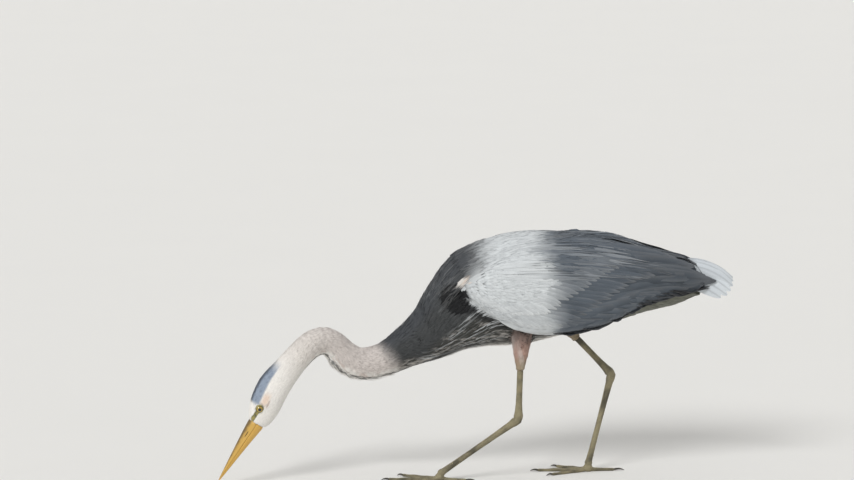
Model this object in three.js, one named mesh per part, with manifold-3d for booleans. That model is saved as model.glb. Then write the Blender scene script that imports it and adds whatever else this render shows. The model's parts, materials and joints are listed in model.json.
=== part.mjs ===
// Great blue heron, life size, leaning forward with its neck in an S and its bill just over the ground.
// Millimetres. +Z is up, the bird faces -X, and its left side is at -Y.
// The body is one loft along a curved axis, parted into trunk, neck lengths and head by thin cuts.
import * as THREE from "three";
import { mergeVertices } from "three/addons/utils/BufferGeometryUtils.js";
import Module from "manifold-3d";

const wasm = await Module();
wasm.setup();

const CUT = 0.3; // width of the thin cuts between nodes
const LEFT = -1; // the side of each paired part, as the sign of its Y
const RIGHT = 1;

// Driving sizes of the bird.
const CULMEN = 132; // upper bill from the feathering to the tip
const EYE_RADIUS = 7.5;
const EYE_SUNK = 6; // how far the eyeball's centre lies inside the widest of the face
const EYE_AHEAD = 12.5; // the eye's place, from the middle of the cheek towards the bill
const EYE_ABOVE = 12; // and towards the crown
const TIBIA = 233; // knee to hock
const TARSUS = 185; // hock to the foot's ball
const BARE_TIBIA = 96; // length of the unfeathered part above the hock
const FOOT_HEIGHT = 13; // height of the foot's ball joint
const PAD = { radius: 9.5, height: 6.5 }; // the pad under the ball
const TOE = { radius: 4.6, taper: 1.6, knuckle: 0.13, heights: [6, 2.9, 2.6, 2.3, 2.05] };
const CLAW = { radii: [2.1, 2, 1.3, 0.5], heights: [2.5, 3.8, 2.8, 0.9] };
// Radii down each length of leg, from the top.
const GIRTH = {
  thigh: [28, 24, 16, 9.5],
  shank: [6.2, 6, 6.8, 9.2, 6],
  tarsus: [8, 8.6, 6.6, 5.2, 5.8, 7],
  ankle: 7.4,
};
// The bill: the gape plane's place under the head's axis, the shares of its size that it loses
// towards the tip, and how much the lower half's edge curves up.
const BILL = { gape: -1.5, loss: 0.95, curve: 1.12, keel: 0.12, width: 0.96 };

const COLOURS = {
  slate: 0x7c8795,
  dark: 0x343a44,
  neck: 0xb3a7a2,
  white: 0xe8e6e0,
  bill: 0xc9a648,
  eye: 0xe6c62c,
  leg: 0x6f6b52,
  thigh: 0x9a6048,
  claw: 0x2c2a28,
};

// The body's axis from the tail's root to the bill. Each station gives the axis point,
// the half width, and how far the body reaches above and below the axis.
const station = (x, y, z, width, above, below) => ({
  centre: new THREE.Vector3(x, y, z),
  size: new THREE.Vector3(width, above, below),
});
const BODY = {
  tailRoot: station(346, 0, 372, 12, 24, 14),
  vent: station(300, 0, 373, 31, 50, 37),
  rump: station(236, 0, 379, 46, 62, 59),
  loins: station(160, 0, 380, 58, 84, 82),
  back: station(80, 0, 376, 74, 104, 98),
  ribs: station(0, 0, 369, 79, 110, 109),
  shoulders: station(-78, 0, 350, 74, 104, 101),
  breast: station(-128, 0, 321, 63, 74, 84),
  neckRoot: station(-166, 0, 288, 48, 55, 61),
  neckBase: station(-213, -5, 257, 35, 42, 42),
  loopBack: station(-262, -16, 232, 28, 33, 33),
  loopBottom: station(-306, -26, 226, 27, 31, 32),
  loopFront: station(-337, -35, 241, 26, 31, 31),
  kinkBack: station(-356, -42, 263, 24, 28, 28),
  kinkTop: station(-377, -50, 275, 23, 27, 27),
  kinkFront: station(-399, -58, 269, 23, 27, 27),
  napeTop: station(-420, -65, 251, 23, 27, 26),
  nape: station(-443, -72, 222, 22, 31, 25),
  crown: station(-466, -79, 189, 23.5, 38, 26),
  cheek: station(-486.5, -84, 157, 22, 33, 30),
  brow: station(-499.5, -87.5, 133, 16.5, 23.5, 26),
  billRoot: station(-507.5, -88.5, 120.5, 12.5, 14.5, 17.5),
};
const STATIONS = Object.keys(BODY);
const axis = new THREE.CatmullRomCurve3(STATIONS.map((name) => BODY[name].centre));
const sizes = new THREE.CatmullRomCurve3(STATIONS.map((name) => BODY[name].size));
const at = (name) => STATIONS.indexOf(name) / (STATIONS.length - 1);

// The folded wing hangs on a guide form round the trunk. Each station gives its place along X, the
// guide's middle height, half height and half width, the wing's lower and upper edge as angles round
// the guide, in degrees from straight out, and the wing's thickness.
const wingStation = (x, middle, height, width, low, high, thick) => ({
  x,
  guide: new THREE.Vector3(middle, height, width),
  edge: new THREE.Vector3(low, high, thick),
});
const WING = [
  wingStation(-116, 362, 66, 58, 4, 20, 8),
  wingStation(-100, 358, 76, 64, -2, 34, 14),
  wingStation(-72, 358, 92, 73, -12, 46, 18),
  wingStation(-36, 363, 104, 80, -31, 54, 18),
  wingStation(10, 368, 110, 82, -45, 60, 16),
  wingStation(70, 371, 111, 81, -49, 66, 14),
  wingStation(130, 377, 104, 75, -50, 72, 12),
  wingStation(190, 382, 88, 64, -50, 78, 11),
  wingStation(245, 383, 61, 52, -36, 82, 10),
  wingStation(295, 386, 49, 41, -32, 80, 8),
  wingStation(335, 385, 40, 34, -27, 62, 6),
  wingStation(356, 376, 30, 29, -16, 25, 4),
];
const WING_SQUARE = { above: 2.2, below: 3.2 }; // how square the guide is over and under its middle
const WING_INSIDE = 2.5; // how far the wing sinks into the trunk before it is cut back
const WING_EDGE = 2.4; // thickness at the wing's rim
const WING_SWELL = 0.55; // how soon it swells from the rim, less being sooner
const WING_CUT = { x: 178, lean: 0.55 }; // where the flight feathers part from the arm, and the cut's slope

// The closed tail is an arched fan of feathers.
const TAIL = {
  root: new THREE.Vector3(232, 0, 396),
  middle: new THREE.Vector3(336, 0, 460),
  tip: new THREE.Vector3(412, 0, 385),
  halfWidth: [20, 25, 29, 33],
  arch: [24, 38, 42, 18],
  thick: 5,
  round: 0.1, // how far the outer feathers end short of the middle ones
};

const LEGS = {
  left: { side: LEFT, knee: [5, -42, 350], hock: [-3, -42, 119], foot: [-154.6, -46] },
  right: { side: RIGHT, knee: [17, 42, 362], hock: [179, 42, 192.5], foot: [134.2, 44] },
};
// Each toe's length, its spread from straight ahead in degrees, its joints and its claw's length.
const TOES = {
  inner: { length: 68, spread: -31, joints: 2, claw: 15 },
  middle: { length: 96, spread: 1, joints: 3, claw: 16 },
  outer: { length: 80, spread: 30, joints: 3, claw: 14 },
  hind: { length: 50, spread: 186, joints: 1, claw: 21 },
};

// ---- Solids ----

// A three.js geometry as a manifold-3d solid, turned outwards if it came inside out.
function solidOf(geometry) {
  const bare = new THREE.BufferGeometry();
  bare.setAttribute("position", geometry.getAttribute("position"));
  bare.setIndex(geometry.index);
  const merged = mergeVertices(bare, 1e-4);
  const triangles = new Uint32Array(merged.index.array);
  const build = (triVerts) =>
    new wasm.Manifold(
      new wasm.Mesh({
        numProp: 3,
        vertProperties: new Float32Array(merged.attributes.position.array),
        triVerts,
      }),
    );
  const solid = build(triangles);
  return solid.volume() > 0 ? solid : build(triangles.reverse());
}

// The largest body of a solid, without the slivers that a cut leaves.
function mainBody(solid) {
  return solid.decompose().reduce((most, body) => (body.volume() > most.volume() ? body : most));
}

// A manifold-3d solid as a three.js geometry.
function geometryOf(solid) {
  const { vertProperties, triVerts } = solid.getMesh();
  const geometry = new THREE.BufferGeometry();
  geometry.setAttribute("position", new THREE.BufferAttribute(vertProperties, 3));
  geometry.setIndex(new THREE.BufferAttribute(triVerts, 1));
  geometry.computeVertexNormals();
  return geometry;
}

// Moves each vertex of a geometry to place(vertex).
function shaped(geometry, place) {
  const position = geometry.getAttribute("position");
  const vertex = new THREE.Vector3();
  for (let i = 0; i < position.count; i++) {
    vertex.fromBufferAttribute(position, i);
    const put = place(vertex);
    position.setXYZ(i, put.x, put.y, put.z);
  }
  return geometry;
}

// Directions across a curve: to the bird's left, level, and to its back.
function across(tangent) {
  const left = new THREE.Vector3(0, 0, 1).cross(tangent).normalize();
  return { left, back: tangent.clone().cross(left).normalize() };
}

// A closed tube along a curve. size(t) gives the half width, and the reach above and below the curve.
function tube(curve, size, { from = 0, to = 1, rings = 8, sides = 20, grow = 0 } = {}) {
  const drum = new THREE.CylinderGeometry(1, 1, 1, sides, rings);
  return shaped(drum, (v) => {
    const share = 0.5 - v.y;
    const t = THREE.MathUtils.lerp(from, to, share);
    const tangent = curve.getTangent(t);
    const { left, back } = across(tangent);
    const reach = size(t);
    const point = curve.getPoint(t);
    const end = share < 1e-6 ? 1 : share > 1 - 1e-6 ? -1 : 0;
    const high = v.z > 0 ? reach.y : reach.z;
    return point
      .addScaledVector(left, v.x * (reach.x + grow))
      .addScaledVector(back, v.z * (high + grow))
      .addScaledVector(tangent, end * (CUT / 2 - grow));
  });
}

// ---- Trunk, neck and head ----

const bodySize = (t) => sizes.getPoint(t);
const bodyPart = (first, last, options = {}) =>
  solidOf(tube(axis, bodySize, { from: at(first), to: at(last), ...options }));

// Where a face point lies: along the head from the brow, towards the crown, and to one side.
function headFrame() {
  const t = at("cheek");
  const tangent = axis.getTangent(t);
  const { left, back } = across(tangent);
  return { t, point: axis.getPoint(t), forward: tangent, left, back };
}

const neckPart = (first, last, rings) => bodyPart(first, last, { rings, sides: 18 });

// The eyeball's centre on one side of the head.
function eyeCentre(side) {
  const { point, forward, left, back } = headFrame();
  const halfWidth = sizes.getPoint(at("cheek")).x;
  return point
    .clone()
    .addScaledVector(forward, EYE_AHEAD)
    .addScaledVector(back, EYE_ABOVE)
    .addScaledVector(left, -side * (halfWidth - EYE_SUNK));
}

function ball(centre, radius, detail = 12) {
  const globe = new THREE.SphereGeometry(radius, detail, Math.round(detail * 0.7));
  return solidOf(globe.translate(centre.x, centre.y, centre.z));
}

function head() {
  let solid = bodyPart("nape", "billRoot", { rings: 11, sides: 22 });
  for (const side of [LEFT, RIGHT]) {
    solid = solid.subtract(ball(eyeCentre(side), EYE_RADIUS + CUT));
  }
  return mainBody(solid);
}

// Half of the bill. The upper half is over the gape plane and the lower one under it.
function billHalf(upper) {
  const { x: width, y: above, z: below } = sizes.getPoint(1);
  const root = axis.getPoint(1);
  const forward = axis.getTangent(1);
  const { left, back } = across(forward);
  const start = root.clone().addScaledVector(forward, CUT);
  const line = new THREE.LineCurve3(start, start.clone().addScaledVector(forward, CULMEN));
  const drum = new THREE.CylinderGeometry(1, 1, 1, 14, 8);
  return solidOf(
    shaped(drum, (v) => {
      const t = 0.5 - v.y;
      const taper = 1 - BILL.loss * t ** BILL.curve;
      const half = upper ? above - BILL.gape : below + BILL.gape;
      const sign = upper ? 1 : -1;
      const arc = Math.max(v.z, 0); // the flat side lies on the gape plane
      const high = arc * half * taper * (upper ? 1 : 1 - BILL.keel * Math.sin(Math.PI * t));
      return line
        .getPoint(t)
        .addScaledVector(left, v.x * width * BILL.width * taper)
        .addScaledVector(back, BILL.gape * taper + sign * (CUT / 2 + high));
    }),
  );
}

// ---- Wings ----

const guides = new THREE.CatmullRomCurve3(WING.map((s) => s.guide));
const edges = new THREE.CatmullRomCurve3(WING.map((s) => s.edge));
const wingPlaces = new THREE.CatmullRomCurve3(WING.map((s) => new THREE.Vector3(s.x, 0, 0)));

// A point on the wing's guide form, lifted by some height, at an angle in degrees.
function onGuide(t, angle, lift, side) {
  const { x: middle, y: height, z: width } = guides.getPoint(t);
  const turn = THREE.MathUtils.degToRad(angle);
  const rise = Math.sin(turn);
  const power = rise > 0 ? WING_SQUARE.above : WING_SQUARE.below;
  const out = (1 - Math.abs(rise) ** power) ** (1 / power);
  const normal = new THREE.Vector2(out / width, rise / height).normalize();
  return new THREE.Vector3(
    wingPlaces.getPoint(t).x,
    side * (width * out + normal.x * lift),
    middle + height * rise + normal.y * lift,
  );
}

// 1 or -1 at the ends of a unit box's side, and 0 between them.
const rim = (value) => (Math.abs(value) > 0.4999 ? Math.sign(value) : 0);

// The whole folded wing, as a lens over the guide form.
function wingLens(side, grow = 0) {
  const sheet = new THREE.BoxGeometry(1, 1, 1, 18, 9, 1);
  return solidOf(
    shaped(sheet, (v) => {
      const t = v.x + 0.5;
      const share = v.y + 0.5;
      const { x: low, y: high, z: thick } = edges.getPoint(t);
      const bulge = Math.sin(Math.PI * THREE.MathUtils.clamp(share, 0, 1)) ** WING_SWELL;
      const outer = WING_EDGE + (thick - WING_EDGE) * bulge;
      const lift = v.z > 0 ? outer + grow : -WING_INSIDE - grow;
      const angle = THREE.MathUtils.lerp(low, high, share) + rim(v.y) * 2 * grow;
      const point = onGuide(t, angle, lift, side);
      point.x += rim(v.x) * grow;
      if (Math.abs(point.y) < CUT) point.y = side * CUT;
      return point;
    }),
  );
}

// Cuts a solid with the slanted plane that parts the arm from the flight feathers.
function partWing(wing, side) {
  const normal = new THREE.Vector3(1, 0, WING_CUT.lean).normalize();
  const offset = normal.dot(new THREE.Vector3(WING_CUT.x, 0, BODY.back.centre.z));
  const flight = wing.trimByPlane(normal.toArray(), offset + CUT / 2);
  const arm = wing.trimByPlane(normal.clone().negate().toArray(), -offset + CUT / 2);
  return { arm: mainBody(arm), flight: mainBody(flight) };
}

// ---- Tail ----

function tail() {
  const crest = new THREE.QuadraticBezierCurve3(TAIL.root, TAIL.middle, TAIL.tip);
  const blend = (values, t) => {
    const place = t * (values.length - 1);
    const low = Math.min(Math.floor(place), values.length - 2);
    return THREE.MathUtils.lerp(values[low], values[low + 1], place - low);
  };
  const sheet = new THREE.BoxGeometry(1, 1, 1, 8, 10, 1);
  return solidOf(
    shaped(sheet, (v) => {
      const aside = 2 * v.y;
      const t = (v.x + 0.5) * (1 - TAIL.round * aside ** 2);
      const top = crest.getPoint(t);
      const drop = blend(TAIL.arch, t) * aside ** 2;
      return new THREE.Vector3(
        top.x,
        aside * blend(TAIL.halfWidth, t),
        top.z - drop + (v.z - 0.5) * TAIL.thick,
      );
    }),
  );
}

// ---- Legs and feet ----

const vector = ([x, y, z]) => new THREE.Vector3(x, y, z);
const round = (radius) => new THREE.Vector3(radius, radius, radius);

// A tube between points, with a radius at each point.
function limb(points, radii, options = {}) {
  const line = new THREE.CatmullRomCurve3(points);
  const girth = new THREE.CatmullRomCurve3(radii.map(round));
  return solidOf(tube(line, (t) => girth.getPoint(t), { sides: 12, ...options }));
}

// A point on the way from one point to another, a distance before the end.
function before(from, to, distance) {
  return to.clone().add(from.clone().sub(to).setLength(distance));
}

function legPoints({ knee, hock, foot }) {
  const [kneeAt, hockAt] = [vector(knee), vector(hock)];
  const ballAt = new THREE.Vector3(foot[0], foot[1], FOOT_HEIGHT);
  return {
    kneeAt: before(kneeAt, hockAt, TIBIA),
    hockAt,
    ballAt: hockAt.clone().add(ballAt.sub(hockAt).setLength(TARSUS)),
    featherEnd: before(kneeAt, hockAt, BARE_TIBIA),
  };
}

// The feathered upper leg, which tapers from the flank to the bare shank.
function thigh(leg) {
  const { kneeAt, hockAt, featherEnd } = legPoints(leg);
  const step = (share) => kneeAt.clone().lerp(featherEnd, share);
  const line = [step(0.12), step(0.4), step(0.72), featherEnd];
  return limb(line, GIRTH.thigh, { rings: 5, sides: 14 });
}

// The bare shank with the knob of the hock joint.
function shank(leg, grow = 0) {
  const { kneeAt, hockAt, featherEnd } = legPoints(leg);
  const step = (distance) => before(kneeAt, hockAt, distance);
  const line = [featherEnd, step(BARE_TIBIA * 0.6), step(22), step(6), step(-4)];
  return limb(line, GIRTH.shank, { rings: 7, sides: 10, grow });
}

// The tarsus, cut back where it meets the knob of the hock.
function tarsus(leg) {
  const { hockAt, ballAt } = legPoints(leg);
  const step = (distance) => before(ballAt, hockAt, distance);
  const distances = [-2, 7, 20, TARSUS * 0.5, TARSUS - 18, TARSUS - 4];
  const shaft = limb(distances.map(step), GIRTH.tarsus, { rings: 8, sides: 10 });
  return mainBody(shaft.subtract(shank(leg, CUT)));
}

// The way a toe points on the ground, and the frame that its knuckles lie in.
function toeHeading(leg, spread) {
  const turn = THREE.MathUtils.degToRad(180 + leg.side * spread);
  return new THREE.Vector3(Math.cos(turn), Math.sin(turn), 0);
}

const onGround = (geometry) =>
  shaped(geometry, (v) => new THREE.Vector3(v.x, v.y, Math.max(v.z, 0)));

// A toe's centreline, which arches a little from the ball to the claw.
function toeLine(leg, toe) {
  const { ballAt } = legPoints(leg);
  const heading = toeHeading(leg, toe.spread);
  const point = (share, height) =>
    new THREE.Vector3(ballAt.x, ballAt.y, height).addScaledVector(heading, toe.length * share);
  return [0, 0.25, 0.5, 0.78, 1].map((share, i) => point(share, TOE.heights[i]));
}

// The foot: four knuckled toes joined at the ball.
function foot(leg) {
  const { ballAt } = legPoints(leg);
  const pad = new THREE.SphereGeometry(PAD.radius, 12, 8);
  let solid = solidOf(onGround(pad.translate(ballAt.x, ballAt.y, PAD.height)));
  for (const toe of Object.values(TOES)) {
    const line = new THREE.CatmullRomCurve3(toeLine(leg, toe));
    const knuckles = (t) =>
      round((TOE.radius - TOE.taper * t) * (1 + TOE.knuckle * Math.cos(2 * Math.PI * toe.joints * t)));
    const shape = tube(line, knuckles, { rings: 4 * toe.joints, sides: 8 });
    solid = solid.add(solidOf(onGround(shape)));
  }
  const { hockAt } = legPoints(leg);
  return mainBody(solid.subtract(tarsusRoom(hockAt, ballAt)));
}

// The space that the tarsus takes, with a thin cut round it.
function tarsusRoom(hockAt, ballAt) {
  const line = [before(ballAt, hockAt, TARSUS * 0.5), before(hockAt, ballAt, 3.6)];
  return limb(line, [GIRTH.ankle, GIRTH.ankle], { rings: 2 });
}

function claw(leg, toe) {
  const heading = toeHeading(leg, toe.spread);
  const root = toeLine(leg, toe).at(-1);
  const point = (share, height) =>
    new THREE.Vector3(root.x, root.y, height).addScaledVector(heading, toe.claw * share + 2 * CUT);
  const line = [0, 0.4, 0.75, 1].map((share, i) => point(share, CLAW.heights[i]));
  return limb(line, CLAW.radii, { rings: 5, sides: 6 });
}

// ---- The bird ----

const bird = new THREE.Group();

function addNode(name, solid, colour, roughness = 0.85) {
  const material = new THREE.MeshStandardMaterial({ color: colour, roughness, metalness: 0 });
  const mesh = new THREE.Mesh(geometryOf(solid), material);
  mesh.name = name;
  bird.add(mesh);
}

const trunk = bodyPart("tailRoot", "neckRoot", { rings: 17, sides: 26 });
const trunkRoom = bodyPart("tailRoot", "neckRoot", { rings: 17, sides: 26, grow: CUT });
addNode("trunk", trunk, COLOURS.slate);
addNode("neck_base", neckPart("neckRoot", "loopBack", 5), COLOURS.neck);
addNode("neck_lower", neckPart("loopBack", "kinkBack", 7), COLOURS.neck);
addNode("neck_middle", neckPart("kinkBack", "kinkFront", 5), COLOURS.neck);
addNode("neck_upper", neckPart("kinkFront", "nape", 5), COLOURS.neck);
addNode("head", head(), COLOURS.white);
addNode("bill_upper", billHalf(true), COLOURS.bill, 0.4);
addNode("bill_lower", billHalf(false), COLOURS.bill, 0.4);

const wingRooms = [];
for (const [name, side] of [["left", LEFT], ["right", RIGHT]]) {
  addNode(`eye_${name}`, ball(eyeCentre(side), EYE_RADIUS), COLOURS.eye, 0.1);
  const { arm, flight } = partWing(wingLens(side).subtract(trunkRoom), side);
  addNode(`wing_${name}`, arm, COLOURS.slate);
  addNode(`flight_${name}`, flight, COLOURS.dark);
  wingRooms.push(wingLens(side, CUT));
}

const [leftRoom, rightRoom] = wingRooms;
const clearOfBody = (solid) =>
  mainBody(solid.subtract(trunkRoom).subtract(leftRoom).subtract(rightRoom));
addNode("tail", clearOfBody(tail()), COLOURS.slate);

for (const [name, leg] of Object.entries(LEGS)) {
  addNode(`thigh_${name}`, clearOfBody(thigh(leg)), COLOURS.thigh);
  addNode(`shank_${name}`, clearOfBody(shank(leg)), COLOURS.leg, 0.6);
  addNode(`tarsus_${name}`, tarsus(leg), COLOURS.leg, 0.6);
  addNode(`foot_${name}`, foot(leg), COLOURS.leg, 0.6);
  for (const [toeName, toe] of Object.entries(TOES)) {
    addNode(`claw_${name}_${toeName}`, claw(leg, toe), COLOURS.claw, 0.4);
  }
}

// The origin is under the middle of the bird, on the ground.
const box = new THREE.Box3().setFromObject(bird);
const middle = box.getCenter(new THREE.Vector3());
bird.position.set(-middle.x, -middle.y, -box.min.z);

export default bird;
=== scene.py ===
"""Great blue heron figure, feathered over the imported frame.

The bird faces -X with its left side at -Y. One skin stands in for the flesh, and blades of
feather lie over it in tracts. Bill, eyes, leg scales and claws are pieces of their own.
All lengths are in metres.
"""

from __future__ import annotations

import json
import logging
import math
from contextlib import contextmanager
from dataclasses import dataclass, replace
from enum import Enum
from pathlib import Path
from typing import Any, Callable, Iterable, Iterator, Sequence

import bpy
import numpy as np
from mathutils import Vector
from mathutils.bvhtree import BVHTree
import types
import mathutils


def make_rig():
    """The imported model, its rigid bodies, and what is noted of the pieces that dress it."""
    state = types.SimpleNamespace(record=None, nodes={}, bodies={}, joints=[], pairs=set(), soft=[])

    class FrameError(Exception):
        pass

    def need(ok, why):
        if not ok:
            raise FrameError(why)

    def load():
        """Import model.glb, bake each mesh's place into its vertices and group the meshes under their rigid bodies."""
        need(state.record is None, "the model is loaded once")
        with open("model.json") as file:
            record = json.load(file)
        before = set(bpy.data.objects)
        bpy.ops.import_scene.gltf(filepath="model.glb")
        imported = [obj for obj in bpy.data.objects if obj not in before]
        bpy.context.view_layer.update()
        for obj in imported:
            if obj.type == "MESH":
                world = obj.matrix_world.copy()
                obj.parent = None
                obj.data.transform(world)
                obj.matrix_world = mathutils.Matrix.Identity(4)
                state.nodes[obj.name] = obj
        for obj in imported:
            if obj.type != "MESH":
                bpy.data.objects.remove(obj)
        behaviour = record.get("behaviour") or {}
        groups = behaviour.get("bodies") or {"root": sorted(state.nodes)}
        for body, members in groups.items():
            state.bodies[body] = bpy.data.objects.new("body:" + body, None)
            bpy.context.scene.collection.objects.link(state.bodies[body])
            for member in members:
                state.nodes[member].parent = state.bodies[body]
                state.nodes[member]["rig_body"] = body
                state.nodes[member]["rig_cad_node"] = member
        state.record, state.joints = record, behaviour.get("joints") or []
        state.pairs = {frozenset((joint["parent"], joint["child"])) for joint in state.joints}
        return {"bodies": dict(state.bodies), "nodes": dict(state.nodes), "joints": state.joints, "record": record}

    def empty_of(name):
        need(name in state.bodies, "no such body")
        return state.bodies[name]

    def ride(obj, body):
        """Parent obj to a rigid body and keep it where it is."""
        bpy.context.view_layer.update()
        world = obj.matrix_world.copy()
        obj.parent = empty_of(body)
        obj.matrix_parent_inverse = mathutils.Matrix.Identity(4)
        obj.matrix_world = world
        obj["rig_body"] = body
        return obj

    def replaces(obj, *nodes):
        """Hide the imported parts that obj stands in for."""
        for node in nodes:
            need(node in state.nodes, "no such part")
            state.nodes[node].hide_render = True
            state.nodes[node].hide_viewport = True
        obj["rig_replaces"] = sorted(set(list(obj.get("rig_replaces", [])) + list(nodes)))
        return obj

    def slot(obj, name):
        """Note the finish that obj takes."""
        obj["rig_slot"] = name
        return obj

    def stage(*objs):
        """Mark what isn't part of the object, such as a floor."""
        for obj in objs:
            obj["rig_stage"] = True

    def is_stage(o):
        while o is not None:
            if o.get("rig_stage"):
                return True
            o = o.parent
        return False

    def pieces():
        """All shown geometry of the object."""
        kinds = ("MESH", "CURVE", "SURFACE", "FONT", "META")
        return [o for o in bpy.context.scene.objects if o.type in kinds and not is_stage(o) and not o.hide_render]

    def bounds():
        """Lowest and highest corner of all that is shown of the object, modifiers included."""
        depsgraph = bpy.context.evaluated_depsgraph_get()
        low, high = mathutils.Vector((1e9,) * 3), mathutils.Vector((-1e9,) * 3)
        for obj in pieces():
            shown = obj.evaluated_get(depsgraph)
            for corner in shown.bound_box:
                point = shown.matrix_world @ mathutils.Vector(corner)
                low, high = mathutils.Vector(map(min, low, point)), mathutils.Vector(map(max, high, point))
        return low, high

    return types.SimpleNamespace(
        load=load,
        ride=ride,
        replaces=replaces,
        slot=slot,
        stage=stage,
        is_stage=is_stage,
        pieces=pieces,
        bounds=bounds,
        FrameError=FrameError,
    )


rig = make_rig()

LOG = logging.getLogger("heron")
MM = 0.001
ROOT = "root"
SIZE_FILE = Path("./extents.json")
PATCH = 0.003  # width of a feather's patch on the bake map
NECK_NODES = ("neck_upper", "neck_middle", "neck_lower", "neck_base")  # from the head down
CHAIN = ("bill_upper", "head", *NECK_NODES, "trunk")  # nodes along the spine
TOES = ("inner", "middle", "outer", "hind")
FRAME: dict[str, Any] = {}

Array = np.ndarray
Colour = tuple[float, float, float]
Piece = bpy.types.Object
Material = bpy.types.Material


class Side(Enum):
    """A side of the bird, by its sign along Y."""

    LEFT = -1.0
    RIGHT = 1.0

    def __str__(self) -> str:
        """Give the word that nodes and pieces are named by."""
        return self.name.lower()


class Slot(Enum):
    """The record's material slots."""

    GREY = "plumage_grey"
    HEAD = "plumage_head"
    NECK = "plumage_neck"
    THIGH = "plumage_thigh"
    FLIGHT = "flight_feathers"
    BILL = "bill"
    EYE = "eye"
    LEG = "leg"
    CLAW = "claw"


# ---- Small numeric helpers ----


def linear(red: int, green: int, blue: int) -> Colour:
    """Turn a display colour of 0 to 255 into linear light."""
    return tuple(((v / 255 + 0.055) / 1.055) ** 2.4 if v > 10 else v / 3295 for v in (red, green, blue))


def ramp(value: Array, low: float, high: float) -> Array:
    """Rise smoothly from 0 at low to 1 at high; low may be the greater."""
    share = np.clip((value - low) / (high - low), 0.0, 1.0)
    return share * share * (3 - 2 * share)


def band(value: Array, low: float, high: float, soft: float) -> Array:
    """Give 1 between low and high, fading to 0 over the soft width at each end."""
    return ramp(value, low - soft, low + soft) * ramp(value, high + soft, high - soft)


def unit(vectors: Array) -> Array:
    """Scale vectors to length 1."""
    return vectors / np.maximum(np.linalg.norm(vectors, axis=-1, keepdims=True), 1e-12)


def onto_plane(vectors: Array, normals: Array) -> Array:
    """Drop the part of each vector along its normal, and scale the rest to length 1."""
    return unit(vectors - normals * np.sum(vectors * normals, axis=-1, keepdims=True))


def dot(a: Array, b: Array) -> Array:
    """Dot product over the last axis."""
    return np.sum(a * b, axis=-1)


def noise(points: Array, scale: float, seed: int) -> Array:
    """Cheap smooth noise of about -1 to 1, as a sum of slanted waves.

    Args:
        points: Places, as N by 3.
        scale: Rough size of a blotch.
        seed: Which pattern.

    Returns:
        One value for each place.
    """
    rng = np.random.default_rng(seed)
    total = np.zeros(len(points))
    for _ in range(6):
        wave = unit(rng.normal(size=3)) * (2 * math.pi / scale) * rng.uniform(0.6, 1.7)
        total += np.sin(points @ wave + rng.uniform(0, 2 * math.pi))
    return total / 3.2


def catmull(points: Array, count: int) -> Array:
    """Resample a smooth curve through points at even lengths.

    Args:
        points: Places on the curve, as K by 3.
        count: How many samples to give.

    Returns:
        The samples, as count by 3.
    """
    ends = np.vstack([2 * points[0] - points[1], points, 2 * points[-1] - points[-2]])
    dense = []
    for i in range(1, len(ends) - 2):
        a, b, c, d = ends[i - 1], ends[i], ends[i + 1], ends[i + 2]
        for t in np.linspace(0, 1, 24, endpoint=False):
            square, cube = 2 * a - 5 * b + 4 * c - d, 3 * b - a - 3 * c + d
            dense.append(0.5 * (2 * b + (c - a) * t + square * t**2 + cube * t**3))
    dense.append(ends[-2])
    curve = np.array(dense)
    run = np.concatenate([[0], np.cumsum(np.linalg.norm(np.diff(curve, axis=0), axis=1))])
    places = np.linspace(0, run[-1], count)
    return np.stack([np.interp(places, run, curve[:, k]) for k in range(3)], axis=1)


# ---- Meshes and objects ----


def deselect() -> None:
    """Deselect every object."""
    bpy.ops.object.select_all(action="DESELECT")


def activate(obj: Piece) -> None:
    """Make one object the only selected and the active one.

    Args:
        obj: The object.
    """
    deselect()
    obj.select_set(True)
    bpy.context.view_layer.objects.active = obj


@contextmanager
def editing(obj: Piece) -> Iterator[None]:
    """Hold one object in edit mode while the block runs.

    Args:
        obj: The object, which is then the only one selected.
    """
    activate(obj)
    bpy.ops.object.mode_set(mode="EDIT")
    yield
    bpy.ops.object.mode_set(mode="OBJECT")


def named(name: str) -> Piece:
    """Name the primitive that was added last, and give it.

    Args:
        name: Its name.

    Returns:
        The primitive.
    """
    piece = bpy.context.active_object
    piece.name = name
    return piece


def apply_modifier(obj: Piece, kind: str, **settings: Any) -> None:
    """Add a modifier, set it and apply it.

    Args:
        obj: The piece.
        kind: The modifier's type.
        **settings: Its properties.
    """
    activate(obj)
    modifier = obj.modifiers.new(kind.title(), kind)
    for name, value in settings.items():
        setattr(modifier, name, value)
    bpy.ops.object.modifier_apply(modifier=modifier.name)


def remesh(obj: Piece, voxel: float) -> None:
    """Melt a piece into one shell of even faces."""
    apply_modifier(obj, "REMESH", mode="VOXEL", voxel_size=voxel)


def vertices(obj: Piece) -> Array:
    """Give an object's vertices as N by 3.

    Args:
        obj: The object.

    Returns:
        Their places.
    """
    flat = np.empty(len(obj.data.vertices) * 3)
    obj.data.vertices.foreach_get("co", flat)
    return flat.reshape(-1, 3)


def move_vertices(obj: Piece, places: Array) -> None:
    """Put an object's vertices at new places."""
    obj.data.vertices.foreach_set("co", places.astype(np.float32).ravel())
    obj.data.update()


def vertex_normals(obj: Piece) -> Array:
    """Give an object's vertex normals as N by 3.

    Args:
        obj: The object.

    Returns:
        The normals.
    """
    flat = np.empty(len(obj.data.vertices) * 3)
    obj.data.vertex_normals.foreach_get("vector", flat)
    return flat.reshape(-1, 3)


def paint(obj: Piece, name: str, colours: Array) -> None:
    """Store a colour for each vertex as an attribute.

    Args:
        obj: The piece.
        name: The attribute's name.
        colours: Linear colours, as N by 3.
    """
    layer = obj.data.color_attributes.new(name, "FLOAT_COLOR", "POINT")
    rgba = np.ones((len(colours), 4), dtype=np.float32)
    rgba[:, :3] = colours
    layer.data.foreach_set("color", rgba.ravel())


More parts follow.
